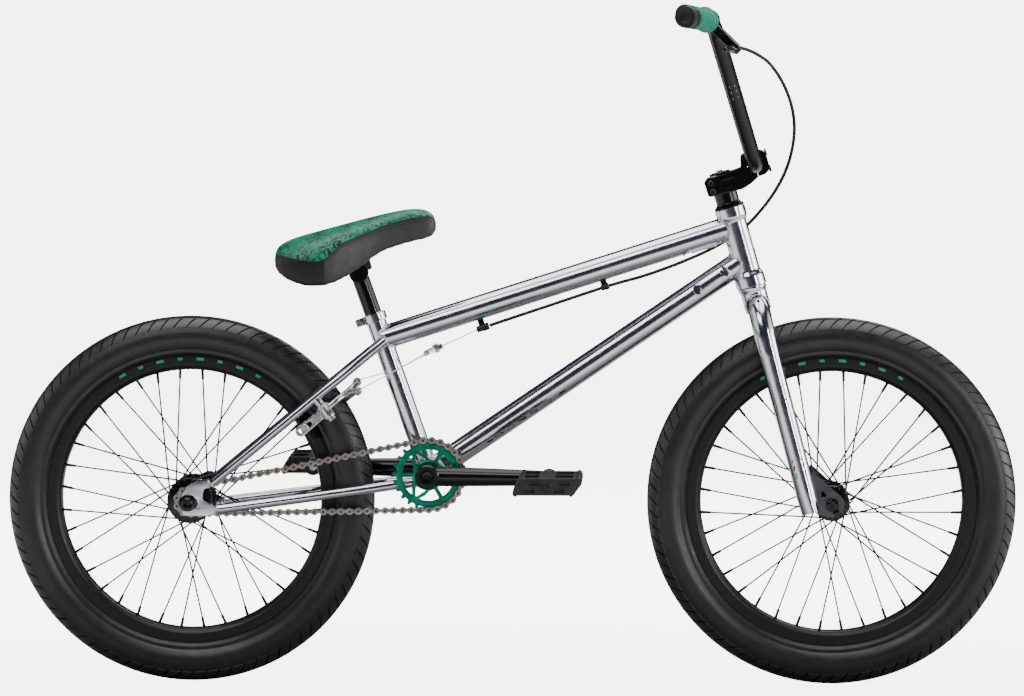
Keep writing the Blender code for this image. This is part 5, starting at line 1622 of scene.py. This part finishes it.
def build_pedals():
    for side, sign in SIDES:
        centre = crank_point(sign, CRANK_LENGTH, (PEDAL_INNER + PEDAL_OUTER) / 2.0)
        half, high, lean = 43.0, 12.3, 5.5
        outline = [
            (-half - lean, -high), (half - lean, -high), (half + lean + 1, high - 8), (half + lean, high),
            (-half + lean, high), (-half - lean + 1, -high + 8),
        ]
        mesh = flat_mesh("pedal", outline, PEDAL_OUTER - PEDAL_INNER, bevel=1.6)
        mesh.transform(Matrix.Translation(centre) @ UPRIGHT)
        cutters = []
        for end in (-1.0, 1.0):
            for across in (-1.0, 1.0):
                cutter = block_mesh("window", (25.0, 38.0, 60.0), 3.0)
                cutter.transform(Matrix.Translation(centre + Vector((end * 24.0, across * 24.5, 0.0)) * MM))
                cutters.append(cutter)
            for level in (-1.0, 1.0):
                notch = block_mesh("notch", (16.0, 6.0, 7.0), 1.2)
                inset = 22.0 if end * level > 0 else 20.0
                place = Vector((end * inset + level * 3.0, sign * 53.0, level * 5.2)) * MM
                notch.transform(Matrix.Translation(centre + place))
                cutters.append(notch)
        cutters.append(pedal_bar(sign, 80, 190.5, 6.4))
        body = "pedal_body_" + side
        look("pedal_" + side, carved(mesh, *cutters), "plastic", body, smooth=30.0, bevel=0.5)
        barrel = carved(pedal_bar(sign, 92, 198, 10.4, 40), pedal_bar(sign, 80, 190.5, 6.4))
        piece("pedal_%s_barrel" % side, barrel, "plastic", body)
        pins = []
        for end in (-1.0, 1.0):
            for spread in (-48.0, -24.5, 0.0, 24.5, 48.0):
                for level in (-1.0, 1.0):
                    foot = centre + Vector((end * 39.0 + level * 5.2, spread, level * 11.8)) * MM
                    pins.append((hex_nut(2.1, 2.4, 0.7), along(foot, foot + Vector((0, 0, level)))))
        piece("pedal_%s_pins" % side, joined("pins", *pins), "plastic", body)
        cap = lathe("cap", [(7.6, -1.0), (7.6, 0.6), (6.4, 1.4), (2.0, 1.6)], 32, closed=False)
        outer = crank_point(sign, CRANK_LENGTH, PEDAL_OUTER)
        piece("pedal_%s_cap" % side, cap, "rubber", body, matrix=along(outer, outer + Vector((0, sign, 0))))
        shaft = lathe(
            "shaft", [(5.9, 0.0), (5.9, 18.0), (7.9, 18.0), (7.9, 20.4), (5.9, 20.4), (5.9, 120.0)], 36,
            closed=False,
        )
        look("pedal_axle_" + side, shaft, "bearing", "crankset",
              along(crank_point(sign, CRANK_LENGTH, 70), crank_point(sign, CRANK_LENGTH, 100)))


# ---- brake ---------------------------------------------------------------------------------------
BRAKE_UP = 236.5
BRAKE_SIDE = 43.0
PAD_UP = 198.0
ARM_LAYERS = {"right": 22.5, "left": 31.5}
ARM_HALF_DEPTH = 4.0
ARM_END_UP = 290.0
ARM_END_SIDE = 33.0
HANGER_UP = 408.0
HANGER_OUT = 55.5
STOP_POINT = (421.8, 0.0, 515.1)
CLIP_POINT = (599.0, 0.0, 574.9)
OUT = (stay_point(0, 0, 1) - stay_point(0, 0, 0)).normalized()


def cable_line(share):
    return at(*CLIP_POINT).lerp(at(*STOP_POINT), share)


def build_brake():
    tilt = Matrix.Rotation(math.radians(-STAY_ANGLE), 4, "Y")
    for side, sign in SIDES:
        body = "brake_caliper_" + side
        pivot = BRAKE_UP, sign * BRAKE_SIDE
        layer = ARM_LAYERS[side]
        barrel = lathe(
            "barrel",
            [
                (4.4, 0.0), (8.2, 0.0), (9.0, 0.9), (9.0, 6.0), (8.4, 6.8), (8.4, 15.0), (9.0, 15.8),
                (9.0, 21.0), (8.2, 22.0), (4.4, 22.0),
            ],
            48,
        )
        barrel.transform(along(stay_point(*pivot, 14), stay_point(*pivot, 40)))
        ways = ((BRAKE_UP, 43), (262, 38), (279, 20), (287, -6), (ARM_END_UP, -ARM_END_SIDE))
        route = smooth_path([stay_point(up, sign * y, layer) for up, y in ways], 6)
        radii = np.interp(np.linspace(0, 1, len(route)), (0.0, 0.3, 0.8, 1.0), (6.4, 5.2, 4.4, 5.2))
        beam = sweep("beam", route, radii, 28, flat=0.78, up=tuple(-OUT))
        keep_in_layer(beam, layer)
        tip_start = stay_point(ARM_END_UP, -sign * (ARM_END_SIDE - 1), layer)
        tip = lathe("tip", [(5.4, 0.0), (6.4, 0.9), (6.4, 8.0), (5.4, 9.0)], 32, closed=False)
        tip.transform(along(tip_start, tip_start + Vector((0, -sign, 0))))
        outline = arc((22.0, 0.0), 7.0, -90.0, 90.0, 8) + arc((-15.0, 0.0), 8.0, 90.0, 270.0, 12)
        slot = arc((-15.0, 0.0), 3.3, 90.0, 270.0, 8) + arc((2.0, 0.0), 3.3, -90.0, 90.0, 8)
        holder = flat_mesh("holder", outline, 6.0, (slot[::-1],), 1.0)
        holder.transform(Matrix.Translation(stay_point(205, sign * 41.5, 24)) @ tilt @ UPRIGHT)
        look("brake_arm_" + side, joined("arm", barrel, beam, tip, holder), "silver", body, smooth=42.0)
        nose = stay_point(*pivot, 36)
        piece(
            "brake_pivot_screw_" + side, socket_screw(6.2, 4.6, 0.55), "bearing", "frame",
            matrix=along(nose, nose + OUT),
        )
        coil = [
            stay_point(
                BRAKE_UP + 10.2 * math.cos(a), sign * BRAKE_SIDE + 10.2 * math.sin(a),
                15.5 + 1.5 * a / math.tau,
            )
            for a in np.linspace(0.0, math.tau * 2.6, 60)
        ]
        piece("brake_spring_" + side, sweep("spring", coil, 0.75, 8), "bearing", body)
        end = stay_point(ARM_END_UP + 1.0, -sign * (ARM_END_SIDE + 8.6), layer)
        piece(
            "straddle_screw_" + side, socket_screw(4.0, 3.4), "bearing", body,
            matrix=along(end, end + Vector((0, -sign, 0))),
        )
        build_pad(side, sign, tilt, body)
    build_hanger()


def keep_in_layer(mesh, layer):
    """Keeps an arm inside its own layer, clear of the arm that crosses it."""
    origin = stay_point(0, 0, layer)
    limit = ARM_HALF_DEPTH * MM
    for vertex in mesh.vertices:
        depth = (vertex.co - origin).dot(OUT)
        vertex.co -= OUT * (depth - max(-limit, min(limit, depth)))


def build_pad(side, sign, tilt, body):
    place = Matrix.Translation(stay_point(PAD_UP, sign * 24.5, 24)) @ tilt
    rubber = block_mesh("pad", (10.6, 8.0, 49.0), 1.6)
    rubber.transform(shift(0, -sign * 1.5, 0))
    grooves = []
    for height in (-14.0, 0.0, 14.0):
        groove = block_mesh("groove", (14.0, 3.0, 1.6))
        groove.transform(shift(0, -sign * 5.6, height))
        grooves.append(groove)
    look("brake_pad_" + side, carved(rubber, *grooves), "rubber", body, place)
    back = block_mesh("back", (10.8, 3.0, 50.0), 1.0)
    back.transform(shift(0, sign * 4.0, 0))
    piece("brake_pad_%s_holder" % side, back, "black", body, matrix=place)
    inner, outer = stay_point(PAD_UP, sign * 29.5, 24), stay_point(PAD_UP, sign * 53.0, 24)
    parts = [bar_mesh("stud", inner, outer, 2.9, sides=20)]
    ahead = (outer - inner).normalized()
    for offset, height in ((3.5, 4.5), (15.2, 1.4)):
        parts.append((
            lathe("washer", [(3.0, 0.0), (5.8, 0.0), (5.8, height), (3.0, height)], 28),
            along(inner + ahead * offset * MM, outer),
        ))
    parts.append((hex_nut(5.6, 4.4, 2.9), along(inner + ahead * 16.6 * MM, outer)))
    piece("brake_pad_%s_stud" % side, joined("stud", *parts), "bearing", body, smooth=30.0)


def build_hanger():
    turn = Matrix.Rotation(math.radians(-24.4), 4, "Y")
    place = Matrix.Translation(stay_point(HANGER_UP, 0, HANGER_OUT)) @ turn
    outline = [
        (-11.0, -9.0), (-8.0, -10.2), (-4.0, -10.2), (-1.0, -7.4), (3.0, -4.2), (11.5, -3.4), (13.0, -2.0),
        (13.0, 2.0), (11.5, 3.4), (3.0, 4.2), (-1.0, 7.4), (-4.0, 10.2), (-8.0, 10.2), (-11.0, 9.0),
        (-9.4, 5.0), (-9.0, 0.0), (-9.4, -5.0),
    ]
    yoke = flat_mesh("yoke", outline, 6.0, bevel=1.1)
    yoke.transform(Matrix.Diagonal((1.25, 1.25, 1.2, 1.0)))
    look("cable_hanger", yoke, "silver", "brake_yoke", place)
    top = place @ Vector((0.006, 0.0, 0.003))
    nut = joined(
        "nut",
        (hex_nut(4.6, 3.6, 1.6), along(top, top + (place.to_3x3() @ Vector((0, 0, 1))))),
        (
            socket_screw(4.2, 3.0),
            along(place @ Vector((0.006, 0, -0.003)), place @ Vector((0.006, 0, -0.1))),
        ),
    )
    piece("cable_hanger_nut", nut, "bearing", "brake_yoke")


HOUSING_RADIUS = 2.5
WIRE_RADIUS = 0.8
CABLE_SLOPE = 17.9
FRONT_CABLE = (
    (803.0, -189.0, 917.5), (819.0, -182, 909.0), (831.0, -172, 899.5), (845.0, -157, 881.0),
    (855.5, -140, 861.0), (863.0, -121, 840.0), (867.3, -102, 818.0), (868.0, -82, 795.0),
    (864.0, -58, 767.0), (856.5, -36, 742.0), (846.0, -14, 719.4), (833.0, 8, 698.0), (819.0, 26, 679.5),
    (805.0, 35, 663.8), (787.0, 35.5, 649.0), (768.0, 31, 637.0), (745.0, 23, 625.3), (720.0, 14, 614.6),
    (690.0, 5, 603.0), (655.0, 0, 591.0), (625.0, 0, 582.6),
)


def build_cables():
    outward, reach = lever_axes()
    centre = grip_point(CLAMP_SIDE, -1.0)
    mouth = centre + reach * CABLE_EXIT * MM - outward * 22.5 * MM
    points = [mouth, *[at(*point) for point in FRONT_CABLE], cable_line(-0.001)]
    mesh = sweep("housing", smooth_path(points, 6), HOUSING_RADIUS, 20)
    front = look("front_brake_housing", mesh, "rubber", None)
    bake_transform(front)
    ferrule = lathe("ferrule", [(2.6, 0.0), (3.3, 0.0), (3.3, 11.0), (2.6, 11.6)], 28)
    piece(
        "front_ferrule", ferrule, "black", "steering",
        matrix=along(mouth + outward * 3 * MM, mouth - outward * 20 * MM),
    )
    run = [cable_line(share) for share in np.linspace(0.001, 0.94, 20)]
    look("rear_brake_housing", sweep("housing", run, HOUSING_RADIUS, 20), "rubber", "frame")
    hanger = stay_point(HANGER_UP, 0, HANGER_OUT)
    stop_end = cable_line(1.02)
    pull = (cable_line(1.055) - hanger).normalized()
    wire = [hanger - pull * 0.002, hanger.lerp(stop_end, 0.5), stop_end]
    look("brake_wire", sweep("wire", wire, WIRE_RADIUS, 12), "wire", "brake_yoke")
    route = []
    for side, sign in SIDES:
        layer = ARM_LAYERS["left" if side == "right" else "right"]
        leg = [
            stay_point(ARM_END_UP + 1.0, sign * (ARM_END_SIDE + 5), layer),
            stay_point(ARM_END_UP + 8.0, sign * (ARM_END_SIDE + 3), layer + 1.0),
            stay_point(345, sign * 21.0, 43.0), stay_point(HANGER_UP - 21, sign * 8.5, HANGER_OUT - 4.0),
            stay_point(HANGER_UP - 11, sign * 5.5, HANGER_OUT - 2.0),
        ]
        route += leg if sign < 0 else leg[::-1]
    look("straddle_wire", sweep("straddle", smooth_path(route, 8), WIRE_RADIUS, 12), "wire", "brake_yoke")
    build_cable_guides()


def build_cable_guides():
    slope = math.radians(CABLE_SLOPE)
    lift = Vector((-math.sin(slope), 0.0, math.cos(slope))) * MM
    for name, first, last, radius in (("cable_stop", 0.945, 1.045, 5.4), ("cable_clip", -0.032, 0.032, 5.0)):
        start, end = cable_line(first), cable_line(last)
        length = (end - start).length / MM
        bore = 1.4 if name == "cable_stop" else 2.6
        barrel = lathe(
            "barrel",
            [
                (bore, 0.0), (radius - 0.8, 0.0), (radius, 0.9), (radius, length * 0.5),
                (radius * 0.86, length * 0.58), (radius * 0.86, length - 0.9), (radius * 0.7, length),
                (bore, length),
            ],
            40,
        )
        barrel.transform(along(start, end))
        foot = block_mesh("foot", (9.0, 5.6, 12.0), 1.2)
        tilt = Matrix.Rotation(-slope, 4, "Y")
        foot.transform(Matrix.Translation((start + end) / 2.0 + lift * 9.5) @ tilt)
        look(name, joined(name, barrel, foot), "black", "frame", smooth=32.0)


# ---- seat ----------------------------------------------------------------------------------------
SADDLE_SECTIONS = (
    # x, half width, top, skirt bottom, underside
    (122.5, 46.0, 628.0, 606.0, 612.0),
    (129.0, 58.0, 635.0, 596.0, 613.0),
    (142.0, 68.0, 642.0, 587.0, 616.0),
    (160.0, 74.5, 648.0, 579.5, 622.0),
    (180.0, 76.5, 652.5, 576.5, 627.0),
    (200.0, 74.0, 658.0, 578.0, 631.0),
    (216.0, 68.5, 662.0, 582.5, 636.0),
    (234.0, 58.0, 667.0, 592.0, 640.0),
    (252.0, 46.5, 672.0, 605.0, 644.0),
    (270.0, 38.0, 677.0, 619.5, 640.0),
    (290.0, 32.0, 682.0, 630.0, 634.0),
    (310.0, 28.5, 686.5, 636.5, 640.0),
    (330.0, 25.5, 688.5, 641.0, 644.0),
    (346.0, 22.0, 685.0, 644.5, 647.0),
    (356.5, 17.0, 675.0, 650.0, 652.0),
)
VOXEL = 4.0
HELD_BAND = 7.0
CLOTH_FRAMES = 20
PUFF_CAP = 5.0
PANEL_EDGE = ((120.0, 624.0), (130.7, 622.6), (165.0, 616.5), (190.0, 614.6), (204.0, 620.0), (222.0, 639.0),
              (247.0, 650.0), (283.0, 664.0), (320.0, 674.0), (345.0, 677.0), (356.0, 672.0))


def saddle_ring(x, width, top, skirt, under):
    half = [
        (0.3 * width, top - 0.008 * width), (0.6 * width, top - 0.045 * width),
        (0.86 * width, top - 0.15 * width - 1.6), (0.985 * width, top - 0.34 * width - 3.0),
        (width, (top + skirt) / 2.0 - 2.0), (0.975 * width, skirt + 5.0), (0.92 * width, skirt),
        (0.82 * width, skirt), (0.72 * width, skirt + 0.25 * (under - skirt)), (0.5 * width, under),
    ]
    right = [(-y, z) for y, z in half]
    return [tuple(at(x, y, z)) for y, z in [(0.0, top), *half, (0.0, under), *reversed(right)]]


def saddle_solid():
    rings = [saddle_ring(*section) for section in SADDLE_SECTIONS]
    mesh = grid_mesh("saddle", rings)
    item = placed("saddle_cage", mesh)
    round_off = item.modifiers.new("round", "SUBSURF")
    round_off.levels = 1
    round_off.render_levels = 1
    voxels = item.modifiers.new("voxels", "REMESH")
    voxels.mode = "VOXEL"
    voxels.voxel_size = VOXEL * MM
    return baked(item)


def puff(mesh, cap):
    """Swells the padding with a cloth simulation and returns the relaxed mesh."""
    scene = bpy.context.scene
    item = placed("padding", mesh)
    rest = np.array([tuple(vertex.co) for vertex in mesh.vertices])
    stations = [section[0] * MM for section in SADDLE_SECTIONS]
    skirt = [(section[3] + HELD_BAND) * MM for section in SADDLE_SECTIONS]
    low = rest[:, 2] < np.interp(rest[:, 0] + WHEELBASE / 2.0 * MM, stations, skirt)
    held = item.vertex_groups.new(name="held")
    held.add([int(index) for index in np.nonzero(low)[0]], 1.0, "REPLACE")
    cloth = item.modifiers.new("cloth", "CLOTH")
    cloth.settings.use_pressure = True
    cloth.settings.uniform_pressure_force = 4.0
    cloth.settings.tension_stiffness = 30.0
    cloth.settings.compression_stiffness = 30.0
    cloth.settings.bending_stiffness = 3.0
    cloth.settings.vertex_group_mass = "held"
    cloth.settings.effector_weights.gravity = 0.0
    scene.frame_start, scene.frame_end = 1, CLOTH_FRAMES
    for number in range(1, CLOTH_FRAMES + 1):
        scene.frame_set(number)
    result = item.evaluated_get(bpy.context.evaluated_depsgraph_get()).to_mesh()
    moved = np.array([tuple(vertex.co) for vertex in result.vertices])
    scene.frame_set(1)
    item.modifiers.clear()
    swell = moved - rest
    length = np.linalg.norm(swell, axis=1)
    swell *= np.minimum(1.0, cap * MM / np.maximum(length, 1e-9))[:, None]
    for vertex, place in zip(mesh.vertices, rest + swell):
        vertex.co = place
    bpy.data.objects.remove(item, do_unlink=True)
    return mesh


def panel_line(x):
    """Height of the top panel's edge, seen from the side."""
    xs, zs = zip(*PANEL_EDGE)
    return np.interp(x, xs, zs)


def build_saddle():
    mesh = saddle_solid()
    mesh = puff(mesh, PUFF_CAP)
    item = placed("fine", mesh)
    relax = item.modifiers.new("relax", "SMOOTH")
    relax.iterations = 10
    fine = item.modifiers.new("fine", "SUBSURF")
    fine.levels = 1
    fine.render_levels = 1
    mesh = baked(item)
    places = np.array([tuple(vertex.co) for vertex in mesh.vertices])
    xs = places[:, 0] / MM + WHEELBASE / 2.0
    distance = places[:, 2] - panel_line(xs) * MM
    mesh.attributes.new("panel", "FLOAT", "POINT").data.foreach_set("value", distance.astype(np.float32))
    tree = BVHTree.FromPolygons(
        [vertex.co for vertex in mesh.vertices], [tuple(face.vertices) for face in mesh.polygons]
    )
    cover = look("saddle_cover", mesh, "vinyl", "saddle", smooth=180.0)
    build_seams(tree)
    build_saddle_base()


def surface_line(tree, sign, heights):
    """Points on one side of the cover at each (x, z)."""
    points = []
    for x, z in heights:
        hit, normal, _, _ = tree.ray_cast(at(x, sign * 200.0, z), Vector((0.0, -sign, 0.0)))
        if hit is not None:
            points.append((hit, normal))
    return points


def build_seams(tree):
    for side, sign in SIDES:
        edge = [(x, float(panel_line(x))) for x in np.linspace(131.0, 350.0, 150)]
        line = surface_line(tree, sign, edge)
        path = [hit + normal * 0.2 * MM for hit, normal in line]
        piece("saddle_piping_" + side, sweep("piping", path, 1.0, 10), "thread", "saddle")
        stitches = []
        low = surface_line(tree, sign, [(x, z - 5.0) for x, z in edge])
        for index in range(0, len(low) - 2, 3):
            lifts = zip(low[index : index + 3], (0.1, 0.5, 0.1))
            stitch = [hit + normal * lift * MM for (hit, normal), lift in lifts]
            stitches.append(sweep("stitch", stitch, 0.45, 6))
        piece("saddle_stitches_" + side, joined("stitches", *stitches), "thread", "saddle")


def build_saddle_base():
    slope = Matrix.Rotation(math.radians(-14.5), 4, "Y")
    outline = [
        (-62.0, -34.0), (-30.0, -38.0), (10.0, -30.0), (57.0, -16.0), (70.0, -10.0), (70.0, 10.0),
        (57.0, 16.0), (10.0, 30.0), (-30.0, 38.0), (-62.0, 34.0),
    ]
    pan = flat_mesh("pan", outline, 4.0, bevel=1.0)
    pan.transform(Matrix.Translation(at(205.0, 0, 622.0)) @ slope)
    block = block_mesh("block", (33.0, 24.0, 34.0), 2.0)
    block.transform(Matrix.Translation(seat_point(5.0, 0, SADDLE_PIVOT + 18.0)) @ slope)
    block = carved(
        block,
        bar_mesh("cut", seat_point(0, -20, SADDLE_PIVOT), seat_point(0, 20, SADDLE_PIVOT), 14.3, sides=64),
    )
    ribs = []
    for across in (-14.0, 14.0):
        rib = block_mesh("rib", (90.0, 3.0, 9.0), 0.8)
        ribs.append((rib, Matrix.Translation(at(200.0, across, 618.0)) @ slope))
    look("saddle_base", joined("base", pan, block, *ribs), "plastic", "saddle", smooth=30.0)
    post = lathe("post", [
        (POST_RADIUS, 130.0), (POST_RADIUS, 297.5), (POST_RADIUS - 0.6, 298.5), (POST_RADIUS - 2.0, 298.5),
        (POST_RADIUS - 2.0, 130.0),
    ], 64)
    ring = [(13.5 * x, 13.5 * y) if index % 2 else (14.0 * x, 14.0 * y)
            for index, (x, y) in enumerate(circle((0.0, 0.0), 1.0, 48))]
    head = flat_mesh("head", ring, 24.4, bevel=0.6)
    head.transform(SEAT @ shift(0, 0, SADDLE_PIVOT) @ UPRIGHT)
    post.transform(SEAT)
    look("seat_post", joined("post", post, head), "black", "seat_mast", smooth=30.0)


# ---- studio --------------------------------------------------------------------------------------
def build_studio():
    mesh = bpy.data.meshes.new("floor")
    build = bmesh.new()
    bmesh.ops.create_circle(build, cap_ends=True, segments=96, radius=900.0)
    build.to_mesh(mesh)
    build.free()
    floor = placed("floor", mesh)
    mesh.materials.append(pale_floor())
    build_world()
    for name, place, size, power, aim in (
        ("key_light", (-1.6, -3.2, 3.4), (2.6, 1.4), 60.0, (0.0, 0.0, 0.5)),
        ("rim_light", (1.8, 2.8, 3.0), (3.0, 1.2), 40.0, (0.0, 0.0, 0.5)),
        ("strip_light", (3.4, -3.0, 1.3), (0.14, 2.2), 60.0, (0.2, 0.0, 0.5)),
    ):
        light = bpy.data.lights.new(name, "AREA")
        light.shape = "RECTANGLE"
        light.size, light.size_y = size
        light.energy = power
        holder = placed(name, light)
        holder.location = place
        holder.visible_camera = False
        holder.rotation_euler = (Vector(aim) - Vector(place)).to_track_quat("-Z", "Y").to_euler()
    camera = bpy.data.cameras.new("camera")
    camera.lens = LENS
    camera.sensor_width = SENSOR_WIDTH
    camera.clip_start = 0.1
    camera.clip_end = 2000.0
    holder = placed("camera", camera)
    holder.location = CAMERA_PLACE
    holder.rotation_euler = CAMERA_TURN
    bpy.context.scene.camera = holder


def build_world():
    """Lights the object by a bright overhead field and pale panels between dark walls; shows as pale."""
    world = bpy.data.worlds.new("studio")
    bpy.context.scene.world = world
    world.use_nodes = True
    tree = world.node_tree

    def maths(operation, first, second=0.0):
        node = tree.nodes.new("ShaderNodeMath")
        node.operation = operation
        for socket, value in zip(node.inputs, (first, second)):
            if isinstance(value, float):
                socket.default_value = value
            else:
                tree.links.new(value, socket)
        return node.outputs[0]

    def smooth(value, low, high):
        node = tree.nodes.new("ShaderNodeMapRange")
        node.interpolation_type = "SMOOTHSTEP"
        tree.links.new(value, node.inputs["Value"])
        node.inputs["From Min"].default_value = low
        node.inputs["From Max"].default_value = high
        return node.outputs["Result"]

    place = tree.nodes.new("ShaderNodeTexCoord").outputs["Generated"]
    split = tree.nodes.new("ShaderNodeSeparateXYZ")
    tree.links.new(place, split.inputs[0])
    x, _, z = split.outputs
    overhead = maths("MULTIPLY", smooth(z, 0.8, 0.92), OVERHEAD)
    panels = maths("MULTIPLY", smooth(maths("ABSOLUTE", x), 0.74, 0.88), SIDE_PANELS)
    strip = maths("MULTIPLY", smooth(x, 0.925, 0.955), STRIP)
    level = maths("ADD", maths("MAXIMUM", overhead, maths("ADD", panels, strip)), WALL)
    tint = tree.nodes.new("ShaderNodeMix")
    tint.data_type = "RGBA"
    tint.inputs[6].default_value = (0.66, 0.72, 1.0, 1.0)
    tint.inputs[7].default_value = (1.0, 1.0, 1.0, 1.0)
    tree.links.new(smooth(level, 0.1, 0.8), tint.inputs["Factor"])
    seen = tree.nodes.new("ShaderNodeLightPath").outputs["Is Camera Ray"]
    shown = tree.nodes.new("ShaderNodeMix")
    shown.data_type = "RGBA"
    shown.inputs[7].default_value = (*PALE, 1.0)
    tree.links.new(seen, shown.inputs["Factor"])
    tree.links.new(tint.outputs[2], shown.inputs[6])
    unseen = maths("MULTIPLY", level, maths("SUBTRACT", 1.0, seen))
    back = tree.nodes["Background"]
    tree.links.new(shown.outputs[2], back.inputs["Color"])
    tree.links.new(maths("ADD", unseen, maths("MULTIPLY", seen, FLOOR_LIFT)), back.inputs["Strength"])


build_studio()
build_main_frame()
build_stays()
build_tube_details()
build_seat_clamp()
build_fork()
build_headset()
build_stem()
build_bars()
build_grips()
build_lever()
build_wheels()
build_axles()
build_chain()
build_sprockets()
build_cranks()
build_pedals()
build_brake()
build_cables()
build_saddle()
